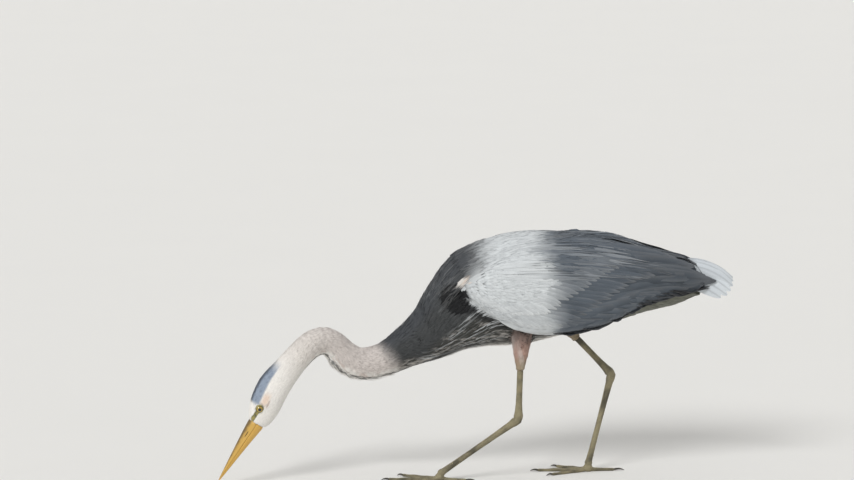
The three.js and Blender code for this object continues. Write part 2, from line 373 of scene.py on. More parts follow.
def add_uv(mesh: bpy.types.Mesh, name: str, places: Array) -> None:
    """Add a UV map with a place for each face corner."""
    layer = mesh.uv_layers.new(name=name)
    layer.uv.foreach_set("vector", places.astype(np.float32).ravel())


def store_value(piece: Piece, name: str, values: Array) -> None:
    """Store a number for each vertex as an attribute."""
    layer = piece.data.attributes.new(name, "FLOAT", "POINT")
    layer.data.foreach_set("value", values.astype(np.float32))


def dress(piece: Piece, material: Material) -> None:
    """Give a piece its one material and smooth faces.

    Args:
        piece: The piece.
        material: Its material.
    """
    piece.data.materials.clear()
    piece.data.materials.append(material)
    activate(piece)
    bpy.ops.object.shade_smooth()


def face_outwards(piece: Piece) -> None:
    """Turn a closed piece's faces outwards.

    Args:
        piece: The piece.
    """
    with editing(piece):
        bpy.ops.mesh.select_all(action="SELECT")
        bpy.ops.mesh.normals_make_consistent(inside=False)


def joined_copy(nodes: Iterable[str], name: str) -> Piece:
    """Copy CAD nodes into one new object, with their doubles merged.

    Args:
        nodes: The nodes' names.
        name: The new object's name.

    Returns:
        The new object.
    """
    copies = []
    for node in nodes:
        source = FRAME["nodes"][node]
        copy = bpy.data.objects.new(name, source.data.copy())
        copy.data.materials.clear()
        bpy.context.scene.collection.objects.link(copy)
        copies.append(copy)
    deselect()
    for copy in copies:
        copy.select_set(True)
    bpy.context.view_layer.objects.active = copies[0]
    if len(copies) > 1:
        bpy.ops.object.join()
    with editing(copies[0]):
        bpy.ops.mesh.select_all(action="SELECT")
        bpy.ops.mesh.remove_doubles(threshold=1e-6)
    copies[0].name = name
    return copies[0]


def melted_node(
    nodes: Sequence[str], name: str, voxel: float, smooth: int, knobs: Sequence[tuple[Array, float]] = ()
) -> Piece:
    """Copy nodes as one fine smooth shell.

    Args:
        nodes: The nodes.
        name: The new piece's name.
        voxel: Size of its faces.
        smooth: How many smoothing steps.
        knobs: Centres and radii of balls that fill the joints between them.

    Returns:
        The piece.
    """
    piece = joined_copy(nodes, name)
    for centre, radius in knobs:
        deselect()
        bpy.ops.mesh.primitive_uv_sphere_add(segments=24, ring_count=16, radius=radius, location=centre)
        ball = bpy.context.active_object
        bpy.ops.object.transform_apply(location=True, rotation=True, scale=True)
        activate(piece)
        ball.select_set(True)
        bpy.ops.object.join()
    remesh(piece, voxel)
    apply_modifier(piece, "SMOOTH", factor=0.5, iterations=smooth)
    return piece


def finish_piece(obj: Piece, slot: Slot, replaced: Sequence[str] = ()) -> None:
    """Ride a piece on the body, name its slot and say which nodes it replaces.

    Args:
        obj: The piece.
        slot: Where its finish comes from.
        replaced: The CAD nodes.
    """
    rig.ride(obj, ROOT)
    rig.slot(obj, slot.value)
    if replaced:
        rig.replaces(obj, *replaced)
    LOG.info("%s: %d faces", obj.name, len(obj.data.polygons))


class Surface:
    """A mesh's surface, which rays and nearest points are asked of."""

    def __init__(self, obj: Piece) -> None:
        """Read the mesh of a finished object.

        Args:
            obj: The object.
        """
        self.points = vertices(obj)
        self.normals = vertex_normals(obj)
        polygons = [tuple(p.vertices) for p in obj.data.polygons]
        self.tree = BVHTree.FromPolygons([Vector(p) for p in self.points], polygons)
        self.face_normals = unit(np.array([self.normals[list(p)].sum(axis=0) for p in polygons]))

    def nearest(self, points: Array) -> tuple[Array, Array]:
        """Find the nearest surface point and its smooth normal for each point.

        Args:
            points: Places, as N by 3.

        Returns:
            The surface points and their normals, both as N by 3.
        """
        found = [self.tree.find_nearest(Vector(p)) for p in points]
        places = np.array([hit[0] for hit in found])
        return places, self.face_normals[[hit[2] for hit in found]]

    def cast(self, origin: Array, direction: Array) -> Array | None:
        """Give where a ray first meets the surface, or None."""
        hit = self.tree.ray_cast(Vector(origin), Vector(direction))
        return None if hit[0] is None else np.array(hit[0])


# ---- Shader nodes ----


class Wire:
    """A shader socket with arithmetic, so that node maths reads as an expression."""

    def __init__(self, graph: Graph, socket: bpy.types.NodeSocket) -> None:
        """Wrap an output socket of a graph's node."""
        self.graph = graph
        self.socket = socket

    def _math(self, operation: str, *values: Any) -> Wire:
        """Add a Math node on these values."""
        return self.graph.node("ShaderNodeMath", {"operation": operation}, list(values))

    def __add__(self, other: Any) -> Wire:
        """Add."""
        return self._math("ADD", self, other)

    __radd__ = __add__

    def __mul__(self, other: Any) -> Wire:
        """Multiply."""
        return self._math("MULTIPLY", self, other)

    __rmul__ = __mul__

    def __sub__(self, other: Any) -> Wire:
        """Subtract."""
        return self._math("SUBTRACT", self, other)

    def __rsub__(self, other: Any) -> Wire:
        """Subtract from a number."""
        return self._math("SUBTRACT", other, self)

    def sine(self) -> Wire:
        """Take the sine."""
        return self._math("SINE", self)

    def absolute(self) -> Wire:
        """Drop the sign."""
        return self._math("ABSOLUTE", self)

    def smooth(self, low: float, high: float) -> Wire:
        """Rise smoothly from 0 at low to 1 at high."""
        settings = {"interpolation_type": "SMOOTHSTEP"}
        return self.graph.node("ShaderNodeMapRange", settings, [self, low, high, 0.0, 1.0])


class Graph:
    """The node graph of one material with a Principled shader."""

    def __init__(self, name: str, **shader: Any) -> None:
        """Make the material.

        Args:
            name: The material's name.
            **shader: Constant values of the Principled shader, with _ for a space.
        """
        self.material = bpy.data.materials.new(name)
        self.material.use_nodes = True
        self.tree = self.material.node_tree
        self.shader = self.tree.nodes["Principled BSDF"]
        for key, value in shader.items():
            self.shader.inputs[key.replace("_", " ")].default_value = value

    def node(self, kind: str, settings: dict[str, Any], values: Any, output: int | str = 0) -> Wire:
        """Add a node.

        Args:
            kind: The node's type.
            settings: Its properties, set first.
            values: A list of socket values by place, or a dict by name.
            output: Which output to give.

        Returns:
            That output.
        """
        made = self.tree.nodes.new(kind)
        for key, value in settings.items():
            setattr(made, key, value)
        pairs = values.items() if isinstance(values, dict) else enumerate(values)
        for key, value in pairs:
            if isinstance(value, Wire):
                self.tree.links.new(value.socket, made.inputs[key])
            elif value is not None:
                made.inputs[key].default_value = value
        return Wire(self, made.outputs[output])

    def coordinates(self) -> Wire:
        """Give the object coordinates."""
        return self.node("ShaderNodeTexCoord", {}, [], "Object")

    def attribute(self, name: str, output: str = "Color") -> Wire:
        """Read a mesh attribute."""
        return self.node("ShaderNodeAttribute", {"attribute_name": name}, [], output)

    def across_along(self, uv_map: str) -> tuple[Wire, Wire]:
        """Give the two coordinates of a UV map.

        Args:
            uv_map: The map's name.

        Returns:
            The place across, and the place along.
        """
        uv = self.node("ShaderNodeUVMap", {"uv_map": uv_map}, [])
        x = self.node("ShaderNodeSeparateXYZ", {}, [uv], "X")
        return x, Wire(self, x.socket.node.outputs["Y"])

    def grain(self, place: Wire, scale: float, detail: float = 3.0) -> Wire:
        """Give a noise texture's value."""
        values = {"Vector": place, "Scale": scale, "Detail": detail}
        return self.node("ShaderNodeTexNoise", {}, values, "Fac")

    def mix(self, factor: Any, a: Any, b: Any, blend: str = "MIX") -> Wire:
        """Mix two colours."""
        values = {0: factor, 6: as_rgba(a), 7: as_rgba(b)}
        return self.node("ShaderNodeMix", {"data_type": "RGBA", "blend_type": blend}, values, 2)

    def shade(self, colour: Wire, amount: Wire) -> Wire:
        """Scale a colour by a number."""
        values = {0: colour, "Scale": amount}
        return self.node("ShaderNodeVectorMath", {"operation": "SCALE"}, values)

    def bump(self, height: Wire, distance: float, strength: float = 1.0) -> Wire:
        """Turn a height into a normal."""
        values = {"Height": height, "Distance": distance, "Strength": strength}
        return self.node("ShaderNodeBump", {}, values, "Normal")

    def wear(self, **links: Wire) -> Material:
        """Link wires to the shader's sockets and give the material.

        Args:
            **links: The wires by socket, with _ for a space.

        Returns:
            The material.
        """
        for key, wire in links.items():
            self.tree.links.new(wire.socket, self.shader.inputs[key.replace("_", " ")])
        return self.material


def as_rgba(value: Any) -> Any:
    """Give a colour of three numbers an alpha, and leave anything else alone."""
    return (*value, 1.0) if isinstance(value, tuple) and len(value) == 3 else value


# ---- Where things lie on the bird ----


class Spine:
    """A curve inside a limb or the body, with a frame of directions at every step along it."""

    BLOCK = 4000  # how many points are located at a time

    def __init__(self, points: Array, spacing: float = 2.0 * MM) -> None:
        """Sample the curve.

        Args:
            points: Places on it, in order, the way the feathers lie.
            spacing: Distance between samples.
        """
        length = float(np.linalg.norm(np.diff(points, axis=0), axis=1).sum())
        self.centres = catmull(points, max(int(length / spacing), 8))
        steps = np.linalg.norm(np.diff(self.centres, axis=0), axis=1)
        self.run = np.concatenate([[0], np.cumsum(steps)])
        self.length = float(self.run[-1])
        self.tangents = unit(np.gradient(self.centres, axis=0))
        side = np.cross([0.0, 0.0, 1.0], self.tangents)
        fallback = np.cross([0.0, 1.0, 0.0], self.tangents)
        weak = np.linalg.norm(side, axis=1, keepdims=True) < 0.2
        self.rights = unit(np.where(weak, np.cross(fallback, self.tangents), side))
        self.backs = np.cross(self.tangents, self.rights)

    def at(self, run: float) -> tuple[Array, Array, Array, Array]:
        """Give the centre, tangent, right and back at a distance along the curve."""
        i = int(np.clip(np.searchsorted(self.run, run), 0, len(self.run) - 1))
        return self.centres[i], self.tangents[i], self.rights[i], self.backs[i]

    def locate(self, points: Array) -> tuple[Array, Array, Array]:
        """Find each point's place round the curve.

        Args:
            points: Places, as N by 3.

        Returns:
            The distance along the curve, the angle round it from the back in radians, positive
            to the right, and the index of the nearest sample.
        """
        index = np.empty(len(points), dtype=int)
        for start in range(0, len(points), self.BLOCK):
            block = slice(start, start + self.BLOCK)
            gaps = ((points[block, None, :] - self.centres[None, :, :]) ** 2).sum(axis=2)
            index[block] = gaps.argmin(axis=1)
        out = points - self.centres[index]
        angle = np.arctan2(dot(out, self.rights[index]), dot(out, self.backs[index]))
        return self.run[index], angle, index

    def unwrap(self, points: Array) -> Array:
        """Give places on the unwrap: round the curve, and along it."""
        run, angle, _ = self.locate(points)
        return np.stack([angle / (2 * math.pi) + 0.5, run / self.length], axis=1)

    def ring(self, surface: Surface, run: float, reach: float, rays: int = 96) -> Array:
        """Cast rays in at the surface from a circle round the curve.

        Args:
            surface: What the rays meet.
            run: Distance along the curve.
            reach: Radius of the circle.
            rays: How many rays.

        Returns:
            The places met, in order round the curve.
        """
        centre, _, right, back = self.at(run)
        hits = []
        for angle in np.linspace(-math.pi, math.pi, rays, endpoint=False):
            out = back * math.cos(angle) + right * math.sin(angle)
            hit = surface.cast(centre + out * reach, -out)
            if hit is not None and (hit - centre) @ out > 0:
                hits.append(hit)
        return np.array(hits)


class HeadFrame:
    """Directions of the head: forward along the bill, to its right, and up to the crown."""

    def __init__(self, eyes: dict[Side, Array], bill: Array) -> None:
        """Take them from the eyes' places and the bill's vertices.

        Args:
            eyes: The eyes' middles.
            bill: The bill's vertices.
        """
        self.origin = (eyes[Side.LEFT] + eyes[Side.RIGHT]) / 2
        self.right = unit(eyes[Side.RIGHT] - eyes[Side.LEFT])
        self.tip = bill[np.linalg.norm(bill - self.origin, axis=1).argmax()]
        self.forward = onto_plane(self.tip - self.origin, self.right)
        self.up = np.cross(self.right, self.forward)

    def local(self, points: Array) -> Array:
        """Give points as forward, right and up from between the eyes."""
        return (points - self.origin) @ np.stack([self.forward, self.right, self.up], axis=1)


class Anatomy:
    """Places on the bird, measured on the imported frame's nodes."""

    FLESH = ("trunk", "head", *NECK_NODES, "wing_left", "wing_right", "thigh_left", "thigh_right")
    SOFT = (*FLESH, "flight_left", "flight_right", "tail")
    STOPS = ("bill", "nape", "kink", "loop", "neck", "breast")  # where the nodes of the chain meet
    REST = {"shoulder": 0.22, "back": 0.5, "rump": 0.78}  # shares of the way from breast to tail
    THIGH_LENGTH = 0.128  # of its feathers, up to the knee
    CUT = 1.2 * MM  # how near two nodes come at their cut
    END = 2 * MM  # how deep the slice is that tells a node's end

    def __init__(self) -> None:
        """Measure the nodes."""
        self.mesh = {name: vertices(obj) for name, obj in FRAME["nodes"].items()}
        self.spine = Spine(self._spine_points())
        self.stops = self._stops()
        self.regions = self._region_tree()
        self.eyes = {side: self.mesh[f"eye_{side}"].mean(axis=0) for side in Side}
        self.wrist = self._extreme("wing_left", low=True)
        self.wing_tip = {side: self._extreme(f"flight_{side}", low=False) for side in Side}
        self.tip_x = float(self.wing_tip[Side.LEFT][0])
        self.middle = float(self.spine.centres[-1, 1])  # the trunk's mid-plane
        self.head = HeadFrame(self.eyes, self.mesh["bill_upper"])

    def _extreme(self, node: str, low: bool) -> Array:
        """Give the middle of a node's front end, where x is low, or of its rear end.

        Args:
            node: The node.
            low: Whether the front end is meant.

        Returns:
            The middle.
        """
        mesh = self.mesh[node]
        edge = mesh[:, 0].min() if low else mesh[:, 0].max()
        return mesh[np.abs(mesh[:, 0] - edge) < self.END].mean(axis=0)

    def joint(self, first: str, second: str) -> Array:
        """Give the middle of the thin cut between two nodes.

        Args:
            first: One node.
            second: The other.

        Returns:
            The middle.
        """
        a, b = self.mesh[first], self.mesh[second]
        gaps = ((a[:, None, :] - b[None, :, :]) ** 2).sum(axis=2)
        near = a[gaps.min(axis=1) < self.CUT**2]
        return (near.min(axis=0) + near.max(axis=0)) / 2

    def _inside(self, node: str, start: Array, end: Array, share: float) -> Array:
        """Give the middle of a node's section, a share of the way from start to end.

        Args:
            node: The node.
            start: The place where its length starts.
            end: Where it ends.
            share: How far between them.

        Returns:
            The section's middle.
        """
        along = unit(end - start)
        middle = start + (end - start) * share
        offsets = self.mesh[node] - middle
        ring = offsets[np.abs(offsets @ along) < 9 * MM]
        right = unit(np.cross([0.0, 0.0, 1.0], along))
        back = np.cross(along, right)
        for axis in (right, back):
            heights = ring @ axis
            middle = middle + axis * (heights.min() + heights.max()) / 2
        return middle

    def _spine_points(self) -> Array:
        """Give places on the body's axis, from the bill's root to the tail's.

        Returns:
            The places, as N by 3.
        """
        joints = [self.joint(a, b) for a, b in zip(CHAIN, CHAIN[1:])]
        joints[0] = (self.joint("head", "bill_upper") + self.joint("head", "bill_lower")) / 2
        points = [joints[0]]
        for node, start, end in zip(CHAIN[1:], joints, joints[1:]):
            points += [self._inside(node, start, end, share) for share in (0.33, 0.67)]
            points.append(end)
        trunk, tail = self.mesh["trunk"], self.mesh["tail"]
        y, rear = (trunk[:, 1].min() + trunk[:, 1].max()) / 2, trunk[:, 0].max()
        lengths = {
            "trunk": np.arange(points[-1][0] + 70 * MM, rear - 8 * MM, 45 * MM),
            "tail": np.array([rear + 8 * MM, tail[:, 0].max() - 12 * MM]),
        }
        for node, places in lengths.items():
            surface = Surface(FRAME["nodes"][node])
            for x in places:
                top = surface.cast(np.array([x, y, 1.0]), np.array([0, 0, -1.0]))
                foot = surface.cast(np.array([x, y, -1.0]), np.array([0, 0, 1.0]))
                points.append(np.array([x, y, (top[2] + foot[2]) / 2]))
        return np.array(points)

    def _stops(self) -> dict[str, float]:
        """Name distances along the spine.

        Returns:
            Each name with its distance.
        """
        stops = {}
        for name, first, second in zip(self.STOPS, CHAIN, CHAIN[1:]):
            stops[name] = self.run_of(self.joint(first, second))
        stops["bill"] = 0.0
        rear = self.mesh["trunk"][:, 0].max()
        stops["tail"] = float(np.interp(rear, self.spine.centres[:, 0], self.spine.run))
        for name, share in self.REST.items():
            stops[name] = stops["breast"] + share * (stops["tail"] - stops["breast"])
        return stops

    def run_of(self, point: Array) -> float:
        """Give one point's distance along the spine."""
        return float(self.spine.locate(point[None])[0][0])

    def run_at(self, stop: tuple[str, float]) -> float:
        """Give the distance along the spine of a place some millimetres past a stop."""
        return self.stops[stop[0]] + stop[1] * MM

    def wing_share(self, points: Array) -> Array:
        """Give how far along the wings points lie, from 0 at the wrist to 1 at the tip."""
        return (points[:, 0] - self.wrist[0]) / (self.tip_x - self.wrist[0])

    def _region_tree(self) -> tuple[BVHTree, list[str]]:
        """Build a tree over the soft nodes that tells which one a point is nearest to.

        Returns:
            The tree, and the node that each of its faces belongs to.
        """
        points, polygons, owners = [], [], []
        for node in self.SOFT:
            obj = FRAME["nodes"][node]
            shift = len(points)
            points += [Vector(v.co) for v in obj.data.vertices]
            polygons += [[i + shift for i in p.vertices] for p in obj.data.polygons]
            owners += [node] * len(obj.data.polygons)
        return BVHTree.FromPolygons(points, polygons), owners

    def region(self, points: Array) -> Array:
        """Name the soft node that each point is nearest to."""
        tree, owners = self.regions
        return np.array([owners[tree.find_nearest(Vector(p))[2]] for p in points])

    def ends(self, node: str) -> tuple[Array, Array]:
        """Give the middles of a long node's upper and lower end.

        Args:
            node: The node.

        Returns:
            The upper and the lower middle.
        """
        mesh = self.mesh[node]
        middle = mesh.mean(axis=0)
        axis = np.linalg.svd(mesh - middle, full_matrices=False)[2][0]
        axis = -axis if axis[2] > 0 else axis
        along = (mesh - middle) @ axis
        upper, lower = along < along.min() + self.END, along > along.max() - self.END
        return mesh[upper].mean(axis=0), mesh[lower].mean(axis=0)

    def leg_axis(self, side: Side) -> tuple[Array, Array]:
        """Give where a thigh's feathers end, and the knee, on the leg's straight line.

        Args:
            side: Which leg.

        Returns:
            The end of the feathers, and the knee.
        """
        end = self.joint(f"thigh_{side}", f"shank_{side}")
        hock = self.joint(f"shank_{side}", f"tarsus_{side}")
        return end, end + unit(end - hock) * self.THIGH_LENGTH


# ---- Colours of the plumage ----


class Plumage:
    """The bird's plumage pattern, with painted sunlight and shade, as colours of places on its body."""

    MANTLE = linear(64, 67, 71)
    # Greys of wings and back: the slate and rear greys are partly painted shade, the pale grey partly painted
    # sunlight.
    SLATE = linear(86, 94, 103)
    REAR = linear(56, 62, 69)
    PALE_SLATE = linear(207, 211, 213)
    FLIGHT = linear(36, 40, 46)
    BLACK = linear(13, 15, 18)
    # The crown stripe's pale blue is partly painted sunlit sheen on dark slate feathers.
    CROWN = linear(140, 154, 174)
    NECK = linear(208, 200, 195)
    NECK_PALE = linear(228, 223, 217)
    WHITE = linear(244, 241, 236)
    BUFF = linear(226, 190, 160)
    RUFOUS = linear(150, 100, 78)
    THIGH = linear(176, 146, 134)
    # Chest and belly greys are darkened by painted shade.
    CHEST = linear(62, 64, 65)
    BELLY = linear(62, 62, 59)
    # The undertail's grey is its pale feathers darkened by painted shade.
    UNDERTAIL = linear(114, 115, 104)
    # The tail's pale grey is partly painted sunlight on slate.
    TAIL = linear(202, 208, 213)
    PLUME = linear(196, 200, 203)
    LORE = linear(186, 172, 104)
    LORE_DUSK = linear(104, 108, 92)
    THIGH_TOP = (0.245, 0.285)  # heights between which the thighs turn grey
    # The front edge of the pale panel on wings and back, in millimetres over and behind the wrist.
    EDGE_UP = (-100, -80, -38, 0, 15, 40, 62)
    EDGE_BACK = (133, 83, 20, 10, 24, 45, 43)
    EDGE_SOFT = ((0, 20, 40), (5, 20, 32))

    def __init__(self, anatomy: Anatomy) -> None:
        """Keep the bird's measures."""
        self.anatomy = anatomy

    def tint(self, points: Array, region: Array) -> Array:
        """Colour places on the bird.

        Args:
            points: Places on the skin, as N by 3.
            region: The flesh node that each is nearest to.

        Returns:
            Linear colours, as N by 3.
        """
        stops, tip = self.anatomy.stops, self.anatomy.tip_x
        run, angle, _ = self.anatomy.spine.locate(points)
        turn = np.degrees(np.abs(angle))
        wing = np.char.startswith(region, "wing") | np.char.startswith(region, "flight")
        colour = self._head(self._neck(points, run, turn), points, run, turn)
        grey = ramp(run + 0.00012 * (90 - turn), stops["neck"] - 8 * MM, stops["neck"] + 38 * MM)
        share = np.where(wing, 1.0, grey * ramp(turn, 176, 156))
        colour = blend(colour, self._trunk(points, turn, wing), share)
        bib = band(run, stops["neck"] + 34 * MM, stops["neck"] + 92 * MM, 14 * MM)
        bib = bib * band(turn, 134, 152, 8)
        bib = bib * ramp(noise(points * [0.3, 1.0, 1.0], 10 * MM, 5), -0.5, 0.2)
        colour = blend(colour, self.NECK_PALE, 0.75 * bib * ~wing)
        # Painted shade under the wing's rear on the undertail.
        under = ramp(run, stops["back"], stops["rump"] - 30 * MM) * ramp(turn, 84, 108) * ~wing
        colour = blend(colour, self.UNDERTAIL, under)
        # The tail's end takes its pale grey, partly painted sunlight.
        end = ramp(points[:, 0], tip - 44 * MM, tip - 20 * MM)
        colour = blend(colour, self.TAIL, end * (region == "tail"))
        return self._thigh(colour, points, region)

    def _thigh(self, colour: Array, points: Array, region: Array) -> Array:
        """Colour the thighs a pinkish brown, grey at the top and in front.

        Args:
            colour: The colours so far.
            points: Places.
            region: The node of each.

        Returns:
            The colours.
        """
        mottle = 0.5 + 0.5 * noise(points, 16 * MM, 8)
        front = ramp(noise(points * [1.0, 0.4, 0.3], 30 * MM, 11), 0.0, 0.5)
        soft = blend(self.THIGH, self.RUFOUS, 0.2 * mottle)
        soft = blend(soft, self.NECK, 0.5 * front)
        top = ramp(points[:, 2], *self.THIGH_TOP)
        # At the top the thighs take the chest's grey, with its painted shade.
        soft = blend(soft, self.CHEST, 0.7 * top)
        return np.where(np.char.startswith(region, "thigh")[:, None], soft, colour)

    def _neck(self, points: Array, run: Array, turn: Array) -> Array:
        """Colour the neck, by the distance along the spine and the turn from the back.

        Args:
            points: Places.
            run: Their distance along the spine.
            turn: Their angle from the back, in degrees.

        Returns:
            The colours.
        """
        stops = self.anatomy.stops
        pale = 0.9 * ramp(run, stops["loop"] + 20 * MM, stops["nape"])
        colour = blend(self.NECK, self.NECK_PALE, pale)
        colour = blend(colour, self.WHITE, 0.85 * ramp(turn, 118, 140))
        streak = noise(points * [0.35, 1.6, 1.6], 9 * MM, 3)
        dashes = band(turn, 146, 166, 4) * ramp(streak, -0.25, 0.15)
        along = ramp(run, stops["nape"], stops["kink"]) * ramp(run, stops["shoulder"], stops["breast"])
        colour = blend(colour, self.BLACK, 0.8 * dashes * along)
        rust = band(turn, 128, 146, 5) * ramp(noise(points, 16 * MM, 5), -0.1, 0.5)
        return blend(colour, self.RUFOUS, 0.3 * rust * along)

    def _trunk(self, points: Array, turn: Array, wing: Array) -> Array:
        """Colour the dark front and belly, partly painted shade, the black shoulder, a painted shadow under the wing's
        lower front edge, and the panel on wings and back.

        Args:
            points: Places.
            turn: Their angle from the back, in degrees.
            wing: Whether each is on a wing.

        Returns:
            The colours.
        """
        wrist = self.anatomy.wrist
        x, z = (points[:, 0] - wrist[0]) / MM - 4, (points[:, 2] - wrist[2]) / MM - 11
        flank = np.abs(points[:, 1] - self.anatomy.middle) > 30 * MM
        # The front and belly greys hold painted shade.
        colour = blend(self.MANTLE, self.CHEST, 0.92 * ramp(turn, 30, 66))
        colour = blend(colour, self.BELLY, ramp(turn, 100, 128))
        wisps = ramp(noise(points * [0.10, 1.2, 1.2], 8 * MM, 3), 0.25, 0.65)
        wisps = wisps * band(turn, 112, 176, 10)
        colour = blend(colour, self.NECK_PALE, 0.34 * wisps)
        ragged = 0.10 * noise(points * [0.5, 1.0, 1.4], 10 * MM, 9)
        behind = x - np.interp(z, self.EDGE_UP, self.EDGE_BACK)
        # A painted shadow along and under the wing's lower front edge.
        shadow = band(behind, -26, 10, 10) * band(z, -90, -34, 10)
        colour = blend(colour, self.BLACK, 0.6 * shadow * flank)
        patch = np.hypot((x + 6 + 0.2 * (z + 30)) / 30, (z + 29) / 27)
        colour = blend(colour, self.BLACK, ramp(patch + 0.6 * ragged, 1.14, 1.0) * flank)
        covered = ramp(behind / np.interp(z, *self.EDGE_SOFT), -1, 1)
        covered = covered * np.where(wing, 1.0, ramp(z, -104, -92) * ramp(turn, 122, 108))
        colour = blend(colour, self._panel(points), covered)
        spot_at = np.hypot((x - 9 - 0.2 * (z - 6)) / 12, (z - 6 - 0.3 * (x - 9)) / 7) + ragged
        colour = blend(colour, self.NECK_PALE, 0.9 * ramp(spot_at, 1.15, 0.75) * flank)
        return blend(colour, self.BUFF, 0.35 * ramp(spot_at, 1.5, 1.0) * ramp(x, 8, 16) * flank)

    def _panel(self, points: Array) -> Array:
        """Colour wings and back, from pale in front, partly painted sunlight, to slate and near black behind, partly
        painted shade.

        Args:
            points: Places.

        Returns:
            The colours.
        """
        along = self.anatomy.wing_share(points)
        over = ramp(points[:, 2] - self.anatomy.wrist[2], 30 * MM, 62 * MM)
        turned = along + 0.02 * noise(points, 40 * MM, 4) + 0.05 * over
        streak = noise(points * [0.1, 0.8, 1.0], 7 * MM, 12)
        pale = blend(self.PALE_SLATE, self.SLATE, 0.14 * ramp(streak, -0.1, 0.7))
        dark = blend(self.SLATE, self.REAR, 0.3 * ramp(streak, 0.0, 0.7))
        dark = blend(dark, self.REAR, 0.75 * ramp(along + 0.05 * streak, 0.6, 0.95))
        # The step from pale to dark is the edge of a painted cast shadow.
        return blend(pale, dark, ramp(turned, 0.36, 0.47))

    def _head(self, colour: Array, points: Array, run: Array, turn: Array) -> Array:
        """Add the white face, the crown's blue-grey stripe, partly painted sunlit sheen on dark slate, and the buff
        behind the eye.

        Args:
            colour: The colours so far.
            points: Places.
            run: Their distance along the spine.
            turn: Their angle from the back, in degrees.

        Returns:
            The colours.
        """
        nape, eye_run = self.anatomy.stops["nape"], self.eye_run()
        colour = blend(colour, self.WHITE, 0.9 * ramp(run, nape + 45 * MM, nape - 30 * MM))
        buff = band(run, eye_run + 10 * MM, eye_run + 34 * MM, 8 * MM) * band(turn, 52, 84, 10)
        colour = blend(colour, self.BUFF, 0.55 * buff)
        line = band(run, eye_run + 9 * MM, eye_run + 24 * MM, 4 * MM) * band(turn, 84, 92, 4)
        colour = blend(colour, self.RUFOUS, 0.5 * line)
        lower = 47 - 12 * ramp(run, eye_run + 30 * MM, nape + 10 * MM)
        upper = 24 * ramp(run, eye_run + 16 * MM, eye_run + 2 * MM)
        stripe = ramp(turn, lower + 6, lower - 5) * ramp(turn, upper - 8, upper + 2)
        ends = ramp(run, eye_run + 1 * MM, eye_run + 12 * MM)
        ends = ends * ramp(run, nape + 8 * MM, nape - 26 * MM)
        # The stripe's pale blue-grey is partly painted sheen.
        colour = blend(colour, self.CROWN, 0.95 * stripe * ends)
        streak = ramp(noise(points * [1.0, 2.5, 1.0], 9 * MM, 6), 0.1, 0.8)
        deep = ramp(turn, 18, 8) + 0.35 * streak * ramp(turn, lower + 2, lower - 8)
        return blend(colour, self.BLACK, 0.62 * deep * ends)

    def eye_run(self) -> float:
        """Give the eyes' distance along the spine."""
        return self.anatomy.run_of(self.anatomy.eyes[Side.LEFT])


def blend(first: Array | Colour, second: Array | Colour, share: Array) -> Array:
    """Mix one colour, or a list of them, with another by a share for each place."""
    share = np.clip(share, 0.0, 1.0)[:, None]
    return np.asarray(first) * (1 - share) + np.asarray(second) * share


# ---- Feathers ----


@dataclass(frozen=True)
class Vane:
    """The form and finish of one kind of feather blade."""

    rows: int = 6
    columns: int = 5
    widest: float = 0.5  # where it is widest, as a share of its length
    root: float = 0.4  # its width at the root, as a share of the widest
    end: float = 0.4  # its width at the tip
    drawn: float = 2.0  # 1 for a drawn-out tip, 3 for one that stays wide for longer
    swept: float = 0.2  # how far the edges fall short of the tip, as a share of the length
    fray: float = 0.05  # how unevenly the barbs end
    camber: float = 0.2  # how far the middle stands over the edges, as a share of the half width
    thick: float = 0.25 * MM
    edge: float = 0.0  # how pale the edges are
    shaft: float = 0.0  # how dark the shaft is
    base: float = 0.15  # how dark the root is

    def stations(self) -> Array:
        """Give the rows' places along the blade, closer near the tip."""
        return 1 - (1 - np.linspace(0, 1, self.rows)) ** 1.5

    def outline(self, along: Array) -> Array:
        """Give the half width at places along the blade, as a share of the widest.

        Args:
            along: The places, from 0 to 1.

        Returns:
            The half widths.
        """
        rise = self.root + (1 - self.root) * np.sin(np.clip(along / self.widest, 0, 1) * math.pi / 2)
        past = np.clip((along - self.widest) / (1 - self.widest), 0, 1)
        return rise * (1 - (1 - self.end) * past**self.drawn)


@dataclass
class Batch:
    """Feathers of one kind, ready to be built: their centrelines and looks."""

    centres: Array  # N by rows by 3
    normals: Array  # N by rows by 3
    width: Array  # N, the full width
    tint: Array  # N by 3, or N by rows by 3
    place: Array  # N by 2, on the unwrapped skin
    roll: Array | None = None  # N, twist about the shaft in radians


